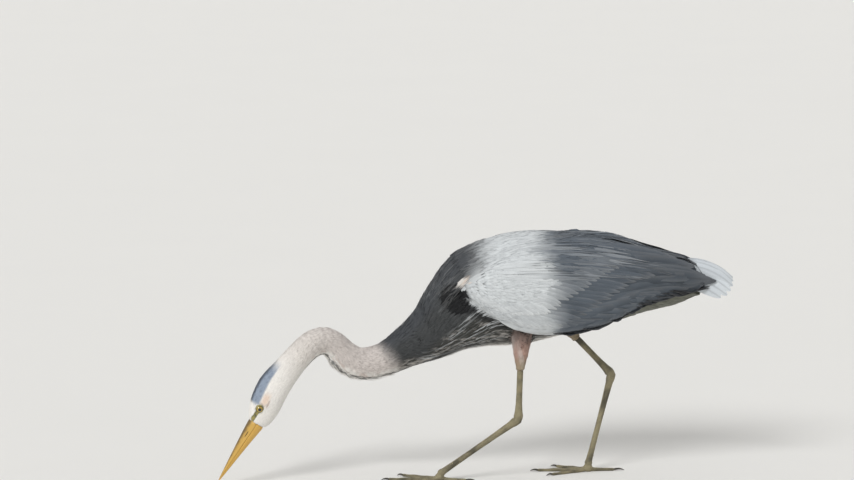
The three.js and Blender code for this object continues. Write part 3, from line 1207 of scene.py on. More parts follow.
class Coat:
    """One piece of plumage: blades of feather joined into one mesh."""

    def __init__(self, name: str, seed: int, glow: float = 0.035) -> None:
        """Start an empty piece, whose feathers differ in depth of colour by glow.

        Args:
            name: The piece's name.
            seed: For its random draws.
            glow: How far its feathers differ.
        """
        self.name = name
        self.glow = glow
        self.rng = np.random.default_rng(seed)
        self.points: list[Array] = []
        self.faces: list[Array] = []
        self.colours: list[Array] = []
        self.across: list[Array] = []
        self.places: list[Array] = []
        self.count = 0

    def add(self, batch: Batch, vane: Vane) -> None:
        """Build a batch of blades as closed lens sections.

        Args:
            batch: The feathers.
            vane: Their form.
        """
        number, columns = len(batch.width), vane.columns
        if number == 0:
            return
        along = vane.stations()
        lie = unit(np.gradient(batch.centres, axis=1))
        normals = onto_plane(batch.normals, lie)
        side = np.cross(normals, lie)
        roll = self.rng.normal(0, 0.06, number) if batch.roll is None else batch.roll
        turn_c, turn_s = np.cos(roll)[:, None, None], np.sin(roll)[:, None, None]
        side, normals = side * turn_c + normals * turn_s, normals * turn_c - side * turn_s
        x = np.linspace(-1, 1, columns)
        half = 0.5 * batch.width[:, None] * vane.outline(along)[None, :]
        spread = half[:, :, None] * x
        dome = vane.camber * (1 - x**2) * half[:, :, None]
        top = batch.centres[:, :, None, :] + side[:, :, None, :] * spread[..., None]
        top += normals[:, :, None, :] * dome[..., None]
        reach = np.linalg.norm(np.diff(batch.centres, axis=1), axis=2).sum(axis=1)
        short = vane.swept * x**2 + vane.fray * np.abs(self.rng.normal(size=(number, columns)))
        short = (short * reach[:, None])[:, None, :] * (along**2.5)[None, :, None]
        top -= lie[:, :, None, :] * short[..., None]
        sink = vane.thick * (1 - np.abs(x[1:-1]) ** 2)
        under = top[:, 1:-1, 1:-1, :] - normals[:, 1:-1, None, :] * sink[None, None, :, None]
        self._store(top, under, batch, vane, along, x)

    def _store(self, top: Array, under: Array, batch: Batch, vane: Vane, along: Array, x: Array) -> None:
        """Keep a batch's vertices, faces, colours and map places.

        Args:
            top: Upper grid of each blade, as N by rows by columns by 3.
            under: Lower grid, without the rim it shares.
            batch: The feathers.
            vane: Their form.
            along: The rows' places.
            x: The columns' places.
        """
        number, rows, columns = top.shape[:3]
        upper = np.arange(rows * columns).reshape(rows, columns)
        lower = upper.copy()
        inner = lower[1:-1, 1:-1]
        inner[:] = upper.size + np.arange(inner.size).reshape(inner.shape)
        faces = np.vstack([quad_grid(upper), quad_grid(lower)[:, ::-1]])
        each = upper.size + inner.size
        points = np.concatenate([top.reshape(number, -1, 3), under.reshape(number, -1, 3)], axis=1)
        self.points.append(points.reshape(-1, 3))
        first = self.count + np.arange(number) * each
        self.faces.append((faces[None] + first[:, None, None]).reshape(-1, 4))
        self.count += number * each
        row, column = np.divmod(np.concatenate([upper.ravel(), upper[1:-1, 1:-1].ravel()]), columns)
        tint = batch.tint[:, row] if batch.tint.ndim == 3 else batch.tint[:, None]
        self.colours.append(self._shades(tint, vane, along[row], x[column]).reshape(-1, 3))
        across = np.stack([(x[column] + 1) / 2, along[row]], axis=1)
        self.across.append(np.tile(across, (number, 1)))
        patch = np.tile((across - 0.5) * PATCH, (number, 1))
        self.places.append(np.stack([np.repeat(batch.place, each, axis=0), patch], axis=2))

    def _shades(self, tint: Array, vane: Vane, along: Array, across: Array) -> Array:
        """Colour a blade's vertices: darker at the root and shaft, paler at the edges.

        Args:
            tint: The feathers' tints.
            vane: Their form.
            along: Each vertex's place along the blade.
            across: Its place across, from -1 to 1.

        Returns:
            Linear colours, as N by vertices by 3.
        """
        glow = 1 + self.glow * self.rng.normal(size=(len(tint), 1, 1))
        shaft = (np.abs(across) < 0.2) * ramp(along, 0.2, 0.5)
        dark = vane.base * (1 - ramp(along, 0.0, 0.6)) + vane.shaft * shaft
        colour = tint * glow * (1 - dark)[None, :, None]
        edge = np.maximum(ramp(np.abs(across), 0.45, 1.0), ramp(along, 0.8, 1.0))
        rim = vane.edge * edge * ramp(along, 0.2, 0.7)
        return colour + (np.array(Plumage.WHITE) - colour) * rim[None, :, None]

    def build(self, slot: Slot, finish: Material, replaced: Sequence[str] = ()) -> None:
        """Make the piece.

        Args:
            slot: The record's material slot.
            finish: The feathers' material.
            replaced: CAD nodes that the piece stands for.
        """
        points, faces = np.vstack(self.points), np.vstack(self.faces)
        mesh = bpy.data.meshes.new(self.name)
        mesh.vertices.add(len(points))
        mesh.vertices.foreach_set("co", points.astype(np.float32).ravel())
        mesh.loops.add(faces.size)
        mesh.loops.foreach_set("vertex_index", faces.astype(np.int32).ravel())
        mesh.polygons.add(len(faces))
        mesh.polygons.foreach_set("loop_start", np.arange(0, faces.size, 4, dtype=np.int32))
        mesh.update(calc_edges=True)
        obj = bpy.data.objects.new(self.name, mesh)
        bpy.context.scene.collection.objects.link(obj)
        paint(obj, "plume", np.vstack(self.colours))
        corners = faces.ravel()
        add_uv(mesh, "Vane", np.vstack(self.across)[corners])
        add_uv(mesh, "OFBake", self._bake_places()[corners])
        mesh.materials.append(finish)
        activate(obj)
        bpy.ops.object.shade_smooth_by_angle(angle=math.radians(75))
        finish_piece(obj, slot, replaced)

    def _bake_places(self) -> Array:
        """Spread the feathers' patches over the bake map, by their roots' places on the skin.

        Returns:
            Each vertex's place on the map.
        """
        stored = np.vstack(self.places)
        place, patch = stored[:, :, 0], stored[:, :, 1]
        low, high = place.min(axis=0), place.max(axis=0)
        return PATCH + (place - low) / np.maximum(high - low, 1e-9) * (1 - 2 * PATCH) + patch


def quad_grid(index: Array) -> Array:
    """Give the quads between neighbouring rows and columns of a grid of vertex numbers."""
    corners = [index[:-1, :-1], index[1:, :-1], index[1:, 1:], index[:-1, 1:]]
    return np.stack([c.ravel() for c in corners], axis=1)


# ---- How feathers lie and grow ----


@dataclass(frozen=True)
class Growth:
    """Sizes of the body feathers at one stop along the spine, in millimetres."""

    stop: str
    spacing: float
    length: float
    width: float
    rise: float  # how far the tips stand over the skin


BODY_GROWTH = (
    Growth("bill", 1.5, 4.6, 2.0, 0.7),
    Growth("eye", 1.75, 7.5, 2.4, 0.9),
    Growth("nape", 2.6, 15, 3.4, 1.8),
    Growth("kink", 3.0, 18, 3.8, 2.6),
    Growth("loop", 3.4, 23, 4.4, 3.2),
    Growth("neck", 4.3, 31, 6.0, 4.2),
    Growth("breast", 6.2, 42, 9.5, 5.4),
    Growth("shoulder", 7.2, 46, 12, 6.0),
    Growth("back", 8.2, 50, 14, 6.5),
    Growth("rump", 8.6, 54, 15, 6.5),
    Growth("tail", 8.6, 56, 15, 5.0),
)


class Growths:
    """The body feathers' sizes at any distance along the spine, in metres."""

    def __init__(self, anatomy: Anatomy, plumage: Plumage) -> None:
        """Place the stops along the spine.

        Args:
            anatomy: The bird's measures.
            plumage: Its plumage pattern, with painted light and shade.
        """
        stops = {**anatomy.stops, "eye": plumage.eye_run()}
        self.runs = np.array([stops[g.stop] for g in BODY_GROWTH])
        self.values = {
            name: np.array([getattr(g, name) for g in BODY_GROWTH]) * MM
            for name in ("spacing", "length", "width", "rise")
        }

    def get(self, name: str, run: Array | float) -> Any:
        """Give one of the sizes at distances along the spine."""
        return np.interp(run, self.runs, self.values[name])


class Lie:
    """The way the feathers point: from bill to tail, along the wings and down the thighs."""

    def __init__(self, anatomy: Anatomy) -> None:
        """Keep the bird's measures."""
        self.anatomy = anatomy

    def body(self, points: Array) -> Array:
        """Point along the spine, from the head to the tail."""
        _, _, index = self.anatomy.spine.locate(points)
        return self.anatomy.spine.tangents[index]

    def wing(self, points: Array) -> Array:
        """Point at the wing's tip, with a droop at the wrist and under the back.

        Args:
            points: Places on the wings.

        Returns:
            The directions.
        """
        left, tips = points[:, 1:2] < self.anatomy.middle, self.anatomy.wing_tip
        aim = np.where(left, tips[Side.LEFT], tips[Side.RIGHT]) - points
        aim[:, 1] = 0
        aim = unit(aim)
        below = ramp(points[:, 2] - self.anatomy.wrist[2], 30 * MM, -30 * MM)
        aim[:, 2] -= (0.15 + 0.5 * below) * ramp(self.anatomy.wing_share(points), 0.42, 0.0)
        return aim


class Layer:
    """Lays the centrelines of feathers over a surface."""

    PULL = 0.55  # the most that a step bends to the surface, as a share of its length
    LOOSE, HELD = 0.8, 0.3  # how far aside the surface lies where it is let go of or kept, likewise
    TURN = 1.6  # how readily the normals follow the surface's
    RISE = 0.9  # under 1 for tips that rise early

    def __init__(self, surface: Surface, flow: Callable[[Array], Array]) -> None:
        """Keep the surface, and the function that gives the feathers' direction at a place."""
        self.surface = surface
        self.flow = flow

    def lay(
        self,
        roots: Array,
        length: Array,
        lift: tuple[Array, Array],
        vane: Vane,
        aim: Array | None = None,
        follow: float = 0.4,
    ) -> tuple[Array, Array]:
        """March from each root over the surface.

        Args:
            roots: Places near the surface, as N by 3.
            length: Each feather's length.
            lift: Height over the surface at the root and at the tip.
            vane: The form, which says where the rows are.
            aim: First direction of each, or None for the flow.
            follow: How far each turns into the flow at a row.

        Returns:
            Centres and normals, as N by rows by 3.
        """
        places, normals = self.surface.nearest(roots)
        lies = onto_plane(self.flow(places) if aim is None else aim, normals)
        along = vane.stations()
        centres, kept = [places + normals * lift[0][:, None]], [normals]
        for row in range(1, vane.rows):
            step = length * (along[row] - along[row - 1])
            guess = places + lies * step[:, None]
            found, facing = self.surface.nearest(guess)
            pull = np.clip(dot(found - guess, normals), -self.PULL * step, self.PULL * step)
            aside = found - guess - normals * dot(found - guess, normals)[:, None]
            off = np.linalg.norm(aside, axis=1)
            held = ramp(off, self.LOOSE * step, self.HELD * step)[:, None]
            places = guess + normals * pull[:, None] * held
            normals = unit(normals + facing * held * self.TURN)
            lies = onto_plane(lies * (1 - follow) + self.flow(places) * follow, normals)
            height = lift[0] + (lift[1] - lift[0]) * along[row] ** self.RISE
            centres.append(places + normals * height[:, None])
            kept.append(normals)
        return np.stack(centres, axis=1), np.stack(kept, axis=1)


def resample_ring(ring: Array, spacing: float, phase: float, rng: np.random.Generator) -> Array:
    """Place points round a closed ring at even steps.

    Args:
        ring: Places round it.
        spacing: Distance between points.
        phase: Shift of the first one, as a share of the spacing.
        rng: For a little unevenness.

    Returns:
        The points.
    """
    closed = np.vstack([ring, ring[:1]])
    run = np.concatenate([[0], np.cumsum(np.linalg.norm(np.diff(closed, axis=0), axis=1))])
    count = max(int(round(run[-1] / spacing)), 3)
    places = (np.arange(count) + phase + rng.uniform(-0.16, 0.16, count)) / count * run[-1] % run[-1]
    return np.stack([np.interp(places, run, closed[:, k]) for k in range(3)], axis=1)


class Bird:
    """All that the pieces share: the measures, the skin's surface, the plumage colours with their painted light and
    shade, and the lie.
    """

    BRIDGE = 15 * MM  # half the width of the grooves that the back's long feathers lie across
    VOXEL = 2.6 * MM  # size of the form's faces
    SWOLLEN_VOXEL = 3.2 * MM  # their size while it swells and shrinks
    SWELL_STEPS = 3
    # Radii round the spine that clear the body, in millimetres.
    REACH = {"bill": 42, "nape": 44, "neck": 56, "breast": 90, "shoulder": 135, "tail": 110}

    def __init__(self) -> None:
        """Measure the frame."""
        self.anatomy = Anatomy()
        self.plumage = Plumage(self.anatomy)
        self.growths = Growths(self.anatomy, self.plumage)
        self.lie = Lie(self.anatomy)
        self.form = self._form(0.0)
        self.cloak = self._form(self.BRIDGE)
        self.wings = {side: WingMap(self, side) for side in Side}

    def _form(self, swell: float) -> Surface:
        """Melt the soft nodes into one smooth surface, which the feathers' tips reach.

        Args:
            swell: How far it swells and shrinks back, which closes grooves twice as wide.

        Returns:
            The surface.
        """
        melted = joined_copy(Anatomy.SOFT, "form")
        remesh(melted, self.VOXEL)
        out = [swell / self.SWELL_STEPS] * self.SWELL_STEPS if swell else []
        for step in out + [-step for step in out]:
            move_vertices(melted, vertices(melted) + vertex_normals(melted) * step)
            remesh(melted, self.SWOLLEN_VOXEL)
        apply_modifier(melted, "SMOOTH", factor=0.5, iterations=6)
        surface = Surface(melted)
        bpy.data.objects.remove(melted)
        return surface

    def reach(self, run: float) -> float:
        """Give a radius that clears the body round a place on the spine."""
        runs = [self.anatomy.stops[stop] for stop in self.REACH]
        return float(np.interp(run, runs, list(self.REACH.values()))) * MM

    def ring_roots(
        self, surface: Surface, start: float, stop: float, spacing: Callable[[float], float], seed: int
    ) -> Array:
        """Place roots in staggered rings round the body.

        Args:
            surface: What they lie on.
            start: First distance along the spine.
            stop: Last distance.
            spacing: Distance between roots at a distance along the spine.
            seed: For a little unevenness.

        Returns:
            The roots, as N by 3.
        """
        rng = np.random.default_rng(seed)
        roots, run, row = [], start, 0
        while run < stop:
            gap = spacing(run)
            at = run + rng.uniform(-0.1, 0.1) * gap
            ring = self.anatomy.spine.ring(surface, at, self.reach(run))
            if len(ring) > 12:
                roots.append(resample_ring(ring, gap, 0.5 * (row % 2), rng))
            run += gap * 0.82
            row += 1
        return np.vstack(roots)

    def on_body(self, surface: Surface, run: Array, turn: Array) -> Array:
        """Give points on the body at distances along the spine and angles from the back.

        Args:
            surface: What they lie on.
            run: Distances along the spine.
            turn: Angles in degrees, positive to the right.

        Returns:
            The points, as N by 3.
        """
        points = []
        for where, angle in zip(run, np.radians(turn)):
            centre, _, right, back = self.anatomy.spine.at(where)
            out = back * math.cos(angle) + right * math.sin(angle)
            hit = surface.cast(centre + out * self.reach(where), -out)
            points.append(centre + out * 20 * MM if hit is None else hit)
        return np.array(points)

    def markings(self, centres: Array, hold: float = 0.5, node: str | None = None) -> Array:
        """Colour feathers row by row.

        Args:
            centres: Their centrelines, as N by rows by 3.
            hold: How far every row takes the colour of the feather's end.
            node: The flesh node that they belong to, or None for the nearest.

        Returns:
            Linear colours, as N by rows by 3.
        """
        flat = (centres * (1 - hold) + centres[:, -2:-1] * hold).reshape(-1, 3)
        region = self.anatomy.region(flat) if node is None else np.full(len(flat), node)
        return self.plumage.tint(flat, region).reshape(centres.shape)

    def clear_of_tail(self, centres: Array) -> Array:
        """Tell which feathers don't end on the tail, but for those on top of its root.

        Args:
            centres: Their centrelines.

        Returns:
            Whether to keep each.
        """
        tips = centres[:, -2]
        _, angle, _ = self.anatomy.spine.locate(tips)
        ahead = tips[:, 0] < self.anatomy.tip_x - 22 * MM
        on_top = (np.degrees(np.abs(angle)) < 46) & ahead
        return (self.anatomy.region(tips) != "tail") | on_top

    def bare(self, points: Array) -> Array:
        """Give how bare of feathers places are: round the eyes and on the lores.

        Args:
            points: Places on the head.

        Returns:
            From 0 for feathered to 1 for bare.
        """
        forward, right, up = self.anatomy.head.local(points).T / MM
        eye = ramp(np.hypot(forward, up), 9.2, 7.6)
        lore = band(forward, 5, 60, 1) * ramp(np.abs(up - 0.2), 4.6, 3.0)
        return np.maximum(eye, lore) * ramp(np.abs(right), 4, 7)

    def skin_colours(self, points: Array) -> Array:
        """Give the plumage colours, painted light and shade included, with the bare skin round the eyes and on the
        lores.

        Args:
            points: Places on the skin.

        Returns:
            Linear colours, as N by 3.
        """
        lore = blend(Plumage.LORE, Plumage.LORE_DUSK, 0.5 + 0.5 * noise(points, 9 * MM, 2))
        tint = self.plumage.tint(points, self.anatomy.region(points))
        return blend(tint, lore, self.bare(points))


# ---- Finishes ----


@dataclass(frozen=True)
class FeatherFinish:
    """Feather: the painted tint, with fine barbs and a raised shaft."""

    name: str
    barbs: float = 46.0  # barbs along a blade
    contrast: float = 0.10
    roughness: float = 0.62
    sheen: float = 0.12

    def material(self) -> Material:
        """Make the material.

        Returns:
            The material.
        """
        g = Graph(self.name, Sheen_Weight=self.sheen, Sheen_Roughness=0.4, Specular_IOR_Level=0.32)
        tint = g.attribute("plume")
        x, t = g.across_along("Vane")
        off = (x - 0.5).absolute() * 2
        barb = ((t * self.barbs - off * (self.barbs * 0.22)) * (2 * math.pi)).sine()
        broken = g.grain(g.coordinates(), 420, 2)
        fine = barb * (0.35 + broken) * off.smooth(0.04, 0.16)
        shaft = 1 - off.smooth(0.02, 0.09)
        tone = 1 + fine * (self.contrast * 0.5) + (broken - 0.5) * (self.contrast * 1.2) - shaft * 0.10
        colour = g.shade(tint, tone)
        height = fine * 0.35 + shaft
        rough = self.roughness + (broken - 0.5) * 0.16 - shaft * 0.1
        return g.wear(Base_Color=colour, Roughness=rough, Normal=g.bump(height, 0.12 * MM, 0.5))


@dataclass(frozen=True)
class SkinFinish:
    """Skin under the coat: the same tint, a little deeper, with a downy grain."""

    name: str = "skin"

    def material(self) -> Material:
        """Make the material.

        Returns:
            The material.
        """
        g = Graph(self.name, Sheen_Weight=0.1, Specular_IOR_Level=0.25)
        place = g.coordinates()
        down = g.grain(place, 900, 2)
        colour = g.shade(g.attribute("plume"), 0.66 + down * 0.3)
        return g.wear(Base_Color=colour, Roughness=0.75 + down * 0.2, Normal=g.bump(down, 0.5 * MM, 0.6))


@dataclass(frozen=True)
class HornFinish:
    """Bill horn: yellow, dusky along the ridge and at the root of the upper half."""

    name: str
    light: Colour = linear(206, 166, 84)
    dusk: Colour = linear(96, 80, 52)
    dusk_share: float = 0.75

    def material(self) -> Material:
        """Make the material.

        Returns:
            The material.
        """
        g = Graph(self.name, Specular_IOR_Level=0.45, Coat_Weight=0.15, Coat_Roughness=0.25)
        place = g.coordinates()
        grain = g.grain(place, 160, 5)
        fine = g.grain(place, 900, 3)
        ridge = g.attribute("ridge", "Fac")
        share = (ridge * self.dusk_share + (grain - 0.5) * 0.5).smooth(0.15, 0.85)
        colour = g.shade(g.mix(share, self.light, self.dusk), 0.9 + fine * 0.2)
        rough = 0.32 + (fine - 0.5) * 0.2 + share * 0.08
        normal = g.bump(grain + fine * 0.4, 0.25 * MM, 0.35)
        return g.wear(Base_Color=colour, Roughness=rough, Normal=normal)


@dataclass(frozen=True)
class LegFinish:
    """Leg skin: small net-like scales between creases."""

    name: str = "leg_skin"
    light: Colour = linear(150, 141, 112)
    dark: Colour = linear(84, 80, 66)

    def material(self) -> Material:
        """Make the material.

        Returns:
            The material.
        """
        g = Graph(self.name, Specular_IOR_Level=0.4)
        place = g.coordinates()
        values = {"Vector": place, "Scale": 520.0, "Randomness": 0.8}
        crease = g.node("ShaderNodeTexVoronoi", {"feature": "DISTANCE_TO_EDGE"}, values, "Distance")
        plate = crease.smooth(0.0, 0.16)
        blotch = g.grain(place, 34, 4)
        fine = g.grain(place, 1500, 2)
        colour = g.mix(blotch.smooth(0.35, 0.7), self.light, self.dark)
        # The creases are painted darker, as shade in them, besides the bump.
        colour = g.shade(colour, 0.76 + plate * 0.24 + (fine - 0.5) * 0.2)
        return g.wear(Base_Color=colour, Roughness=0.5 + fine * 0.2, Normal=g.bump(plate, 0.35 * MM, 0.7))


@dataclass(frozen=True)
class ScuteFinish:
    """Scutes, the plates down the front of the shank and over the toes."""

    name: str = "scutes"
    light: Colour = linear(156, 147, 118)
    dark: Colour = linear(92, 86, 70)

    def material(self) -> Material:
        """Make the material.

        Returns:
            The material.
        """
        g = Graph(self.name, Specular_IOR_Level=0.42)
        place = g.coordinates()
        x, t = g.across_along("Vane")
        rim = t.smooth(0.72, 1.0)
        blotch = g.grain(place, 60, 4)
        fine = g.grain(place, 1300, 3)
        colour = g.mix(blotch.smooth(0.3, 0.75), self.light, self.dark)
        colour = g.shade(colour, 1.05 - rim * 0.28 + (fine - 0.5) * 0.25)
        height = fine + (x - 0.5).absolute() * -0.8
        normal = g.bump(height, 0.2 * MM, 0.4)
        return g.wear(Base_Color=colour, Roughness=0.44 + fine * 0.18, Normal=normal)


@dataclass(frozen=True)
class ClawFinish:
    """Claw horn: near black, paler at the root."""

    name: str = "claw_horn"

    def material(self) -> Material:
        """Make the material.

        Returns:
            The material.
        """
        g = Graph(self.name, Specular_IOR_Level=0.5, Coat_Weight=0.2, Coat_Roughness=0.2)
        fine = g.grain(g.coordinates(), 700, 4)
        colour = g.mix(fine.smooth(0.3, 0.8), linear(40, 36, 32), linear(76, 68, 56))
        return g.wear(Base_Color=colour, Roughness=0.3 + fine * 0.2, Normal=g.bump(fine, 0.2 * MM, 0.3))


@dataclass(frozen=True)
class EyeFinish:
    """Eye: black pupil, yellow iris with fine rays and a dark rim, under a wet film."""

    name: str = "eye"
    yellow: Colour = linear(214, 196, 88)
    amber: Colour = linear(150, 122, 44)

    def material(self) -> Material:
        """Make the material.

        Returns:
            The material.
        """
        g = Graph(self.name, Specular_IOR_Level=0.5, Coat_Weight=1.0, Coat_Roughness=0.03)
        ring = g.attribute("iris", "Fac")  # 0 at the pupil's middle, 1 at the rim of the iris
        rays = g.grain(g.coordinates(), 1800, 3)
        iris = g.mix((rays + ring * 0.5).smooth(0.45, 1.0), self.yellow, self.amber)
        iris = g.mix((rays * 0.3 + ring).smooth(1.0, 1.22), iris, linear(20, 16, 12))
        colour = g.mix(ring.smooth(0.46, 0.52), linear(8, 8, 9), iris)
        return g.wear(Base_Color=colour, Roughness=0.12 + ring * 0.1)


@dataclass(frozen=True)
class BareSkinFinish:
    """Bare skin of the lores and lids: yellow-green, finely wrinkled."""

    name: str
    light: Colour = linear(186, 176, 110)
    dark: Colour = linear(92, 102, 88)

    def material(self) -> Material:
        """Make the material.

        Returns:
            The material.
        """
        g = Graph(self.name, Specular_IOR_Level=0.4)
        place = g.coordinates()
        wrinkle = g.grain(place, 1400, 4)
        blotch = g.grain(place, 150, 2)
        colour = g.mix(blotch.smooth(0.35, 0.7), self.light, self.dark)
        colour = g.shade(colour, 0.85 + wrinkle * 0.3)
        normal = g.bump(wrinkle, 0.15 * MM, 0.6)
        return g.wear(Base_Color=colour, Roughness=0.42 + wrinkle * 0.15, Normal=normal)


# ---- The skin ----


@dataclass(frozen=True)
class Spot:
    """A soft swelling or hollow on both sides of the head, in millimetres."""

    centre: tuple[float, float]  # forward of the eyes, and above them
    size: tuple[float, float]
    height: float

    def shift(self, local: Array) -> Array:
        """Give how far it moves places in the head's frame.

        Args:
            local: Places in the head's frame.

        Returns:
            The distances.
        """
        forward = (local[:, 0] / MM - self.centre[0]) / self.size[0]
        up = (local[:, 2] / MM - self.centre[1]) / self.size[1]
        return self.height * MM * np.exp(-(forward**2) - up**2)


@dataclass
class Skin:
    """The one skin under the whole coat, from the bill's root to the tail's."""

    bird: Bird
    voxel: float = 2.6 * MM
    thigh_depth: float = 2.6 * MM
    wing_depth: float = 4.0 * MM
    head_length: float = 42 * MM  # behind the eyes, which is divided finely
    head_reach: float = 70 * MM  # round the eyes, likewise
    brow: Spot = Spot((-1, 9), (11, 3.2), 1.0)
    lore: Spot = Spot((15, 0.5), (8, 4.2), -1.5)
    cheek: Spot = Spot((-10, -9), (14, 6), 1.2)
    crease: tuple[float, float] = (0.8 * MM, 1.1 * MM)  # depth and width of the mouth's line
    finish: SkinFinish = SkinFinish()

    def build(self) -> None:
        """Melt the flesh into one shell, set it in by the coat's depth, and shape the head."""
        skin = joined_copy(Anatomy.FLESH, "skin")
        remesh(skin, self.voxel)
        places = vertices(skin)
        move_vertices(skin, places - vertex_normals(skin) * self._depth(places)[:, None])
        remesh(skin, self.voxel)
        apply_modifier(skin, "SMOOTH", factor=0.5, iterations=5)
        self._keep_largest(skin)
        self._refine(skin)
        self._sculpt(skin)
        paint(skin, "plume", self.bird.skin_colours(vertices(skin)))
        dress(skin, self.finish.material())
        finish_piece(skin, Slot.GREY, Anatomy.FLESH)

    def _depth(self, places: Array) -> Array:
        """Give the coat's depth at places on the flesh.

        Args:
            places: Places on the flesh.

        Returns:
            The depths.
        """
        run, _, _ = self.bird.anatomy.spine.locate(places)
        depth = self.bird.growths.get("rise", run)
        region = self.bird.anatomy.region(places)
        depth = np.where(np.char.startswith(region, "thigh"), self.thigh_depth, depth)
        return np.where(np.char.startswith(region, "wing"), self.wing_depth, depth)

    @staticmethod
    def _keep_largest(skin: Piece) -> None:
        """Delete specks that the melting may leave.

        Args:
            skin: The skin.
        """
        with editing(skin):
            bpy.ops.mesh.select_all(action="DESELECT")
        rearmost = int(vertices(skin)[:, 0].argmax())
        skin.data.vertices[rearmost].select = True
        with editing(skin):
            bpy.ops.mesh.select_linked()
            bpy.ops.mesh.select_all(action="INVERT")
            bpy.ops.mesh.delete(type="VERT")

    def _refine(self, skin: Piece) -> None:
        """Divide the head's faces once, so that its folds have the vertices they need.

        Args:
            skin: The skin.
        """
        local = self.bird.anatomy.head.local(vertices(skin))
        near = np.linalg.norm(local, axis=1) < self.head_reach
        with editing(skin):
            bpy.ops.mesh.select_mode(type="VERT")
            bpy.ops.mesh.select_all(action="DESELECT")
        skin.data.vertices.foreach_set("select", near & (local[:, 0] > -self.head_length))
        with editing(skin):
            bpy.ops.mesh.subdivide(number_cuts=1)
            bpy.ops.mesh.vertices_smooth(factor=0.5, repeat=3)

    def _sculpt(self, skin: Piece) -> None:
        """Raise the brow and cheek, and hollow the lore and the gape's line.

        Args:
            skin: The skin.
        """
        places, normals = vertices(skin), vertex_normals(skin)
        local = self.bird.anatomy.head.local(places)
        flank = ramp(np.abs(local[:, 1]), 5 * MM, 9 * MM)
        shift = sum(spot.shift(local) for spot in (self.brow, self.lore, self.cheek))
        depth, width = self.crease
        crease = np.exp(-(((local[:, 2] - self._gape()) / width) ** 2))
        shift = shift - depth * crease * ramp(local[:, 0], -6 * MM, 2 * MM)
        move_vertices(skin, places + normals * (shift * flank)[:, None])

    def _gape(self) -> float:
        """Give the height of the mouth's line in the head's frame.

        Returns:
            The height.
        """
        anatomy = self.bird.anatomy
        upper, lower = (anatomy.head.local(anatomy.mesh[f"bill_{half}"]) for half in ("upper", "lower"))
        root = (upper[:, 0].min() + lower[:, 0].min()) / 2
        return float(upper[np.abs(upper[:, 0] - root) < 12 * MM, 2].min())


# ---- The coat ----


class Form:
    """The blades' forms, from the small stiff ones of the face to the long flight feathers."""

    FACE = Vane(
        rows=4, columns=3, end=0.4, drawn=1.3, swept=0.24, fray=0.06, camber=0.24, thick=0.12 * MM,
        base=0.08,
    )
    NECK = Vane(
        rows=6, columns=3, widest=0.4, end=0.3, drawn=1.2, fray=0.05, camber=0.24, thick=0.15 * MM,
        base=0.1,
    )
    BODY = Vane(end=0.45, fray=0.06)
    MANTLE = Vane(rows=8, widest=0.4, end=0.25, drawn=1.3, swept=0.16, fray=0.04, camber=0.14, edge=0.06)
    COVERT = Vane(rows=8, widest=0.55, end=0.5, swept=0.14, fray=0.02, camber=0.14, edge=0.08, shaft=0.06)
    FLIGHT = Vane(
        rows=14, columns=7, widest=0.65, root=0.45, end=0.42, drawn=3.0, swept=0.06, fray=0.003,
        camber=0.1, thick=0.4 * MM, edge=0.06, shaft=0.2, base=0.05,
    )
    TAIL = replace(FLIGHT, end=0.62, swept=0.08)
    TAIL_MIDDLE = replace(TAIL, camber=0.3)
    LANCE = Vane(
        rows=10, widest=0.3, root=0.5, end=0.06, drawn=1.0, swept=0.04, fray=0.015, camber=0.14,
        edge=0.1, base=0.1,
    )
    HAIR = Vane(
        rows=9, columns=3, widest=0.3, root=0.5, end=0.08, drawn=1.0, swept=0.05, fray=0.02, base=0.1
    )
    SCUTE = Vane(rows=4, widest=0.5, root=0.85, end=0.8, swept=0.2, fray=0.0, camber=0.34, thick=0.3 * MM)


@dataclass(frozen=True)
class CoatPart:
    """One piece of the body's small feathers, between two stops of the spine."""

    name: str
    slot: Slot
    start: tuple[str, float]  # a stop of the spine, and millimetres past it
    stop: tuple[str, float]
    vane: Vane
    cloaked: bool = False  # whether it lies across the back, from wing to wing


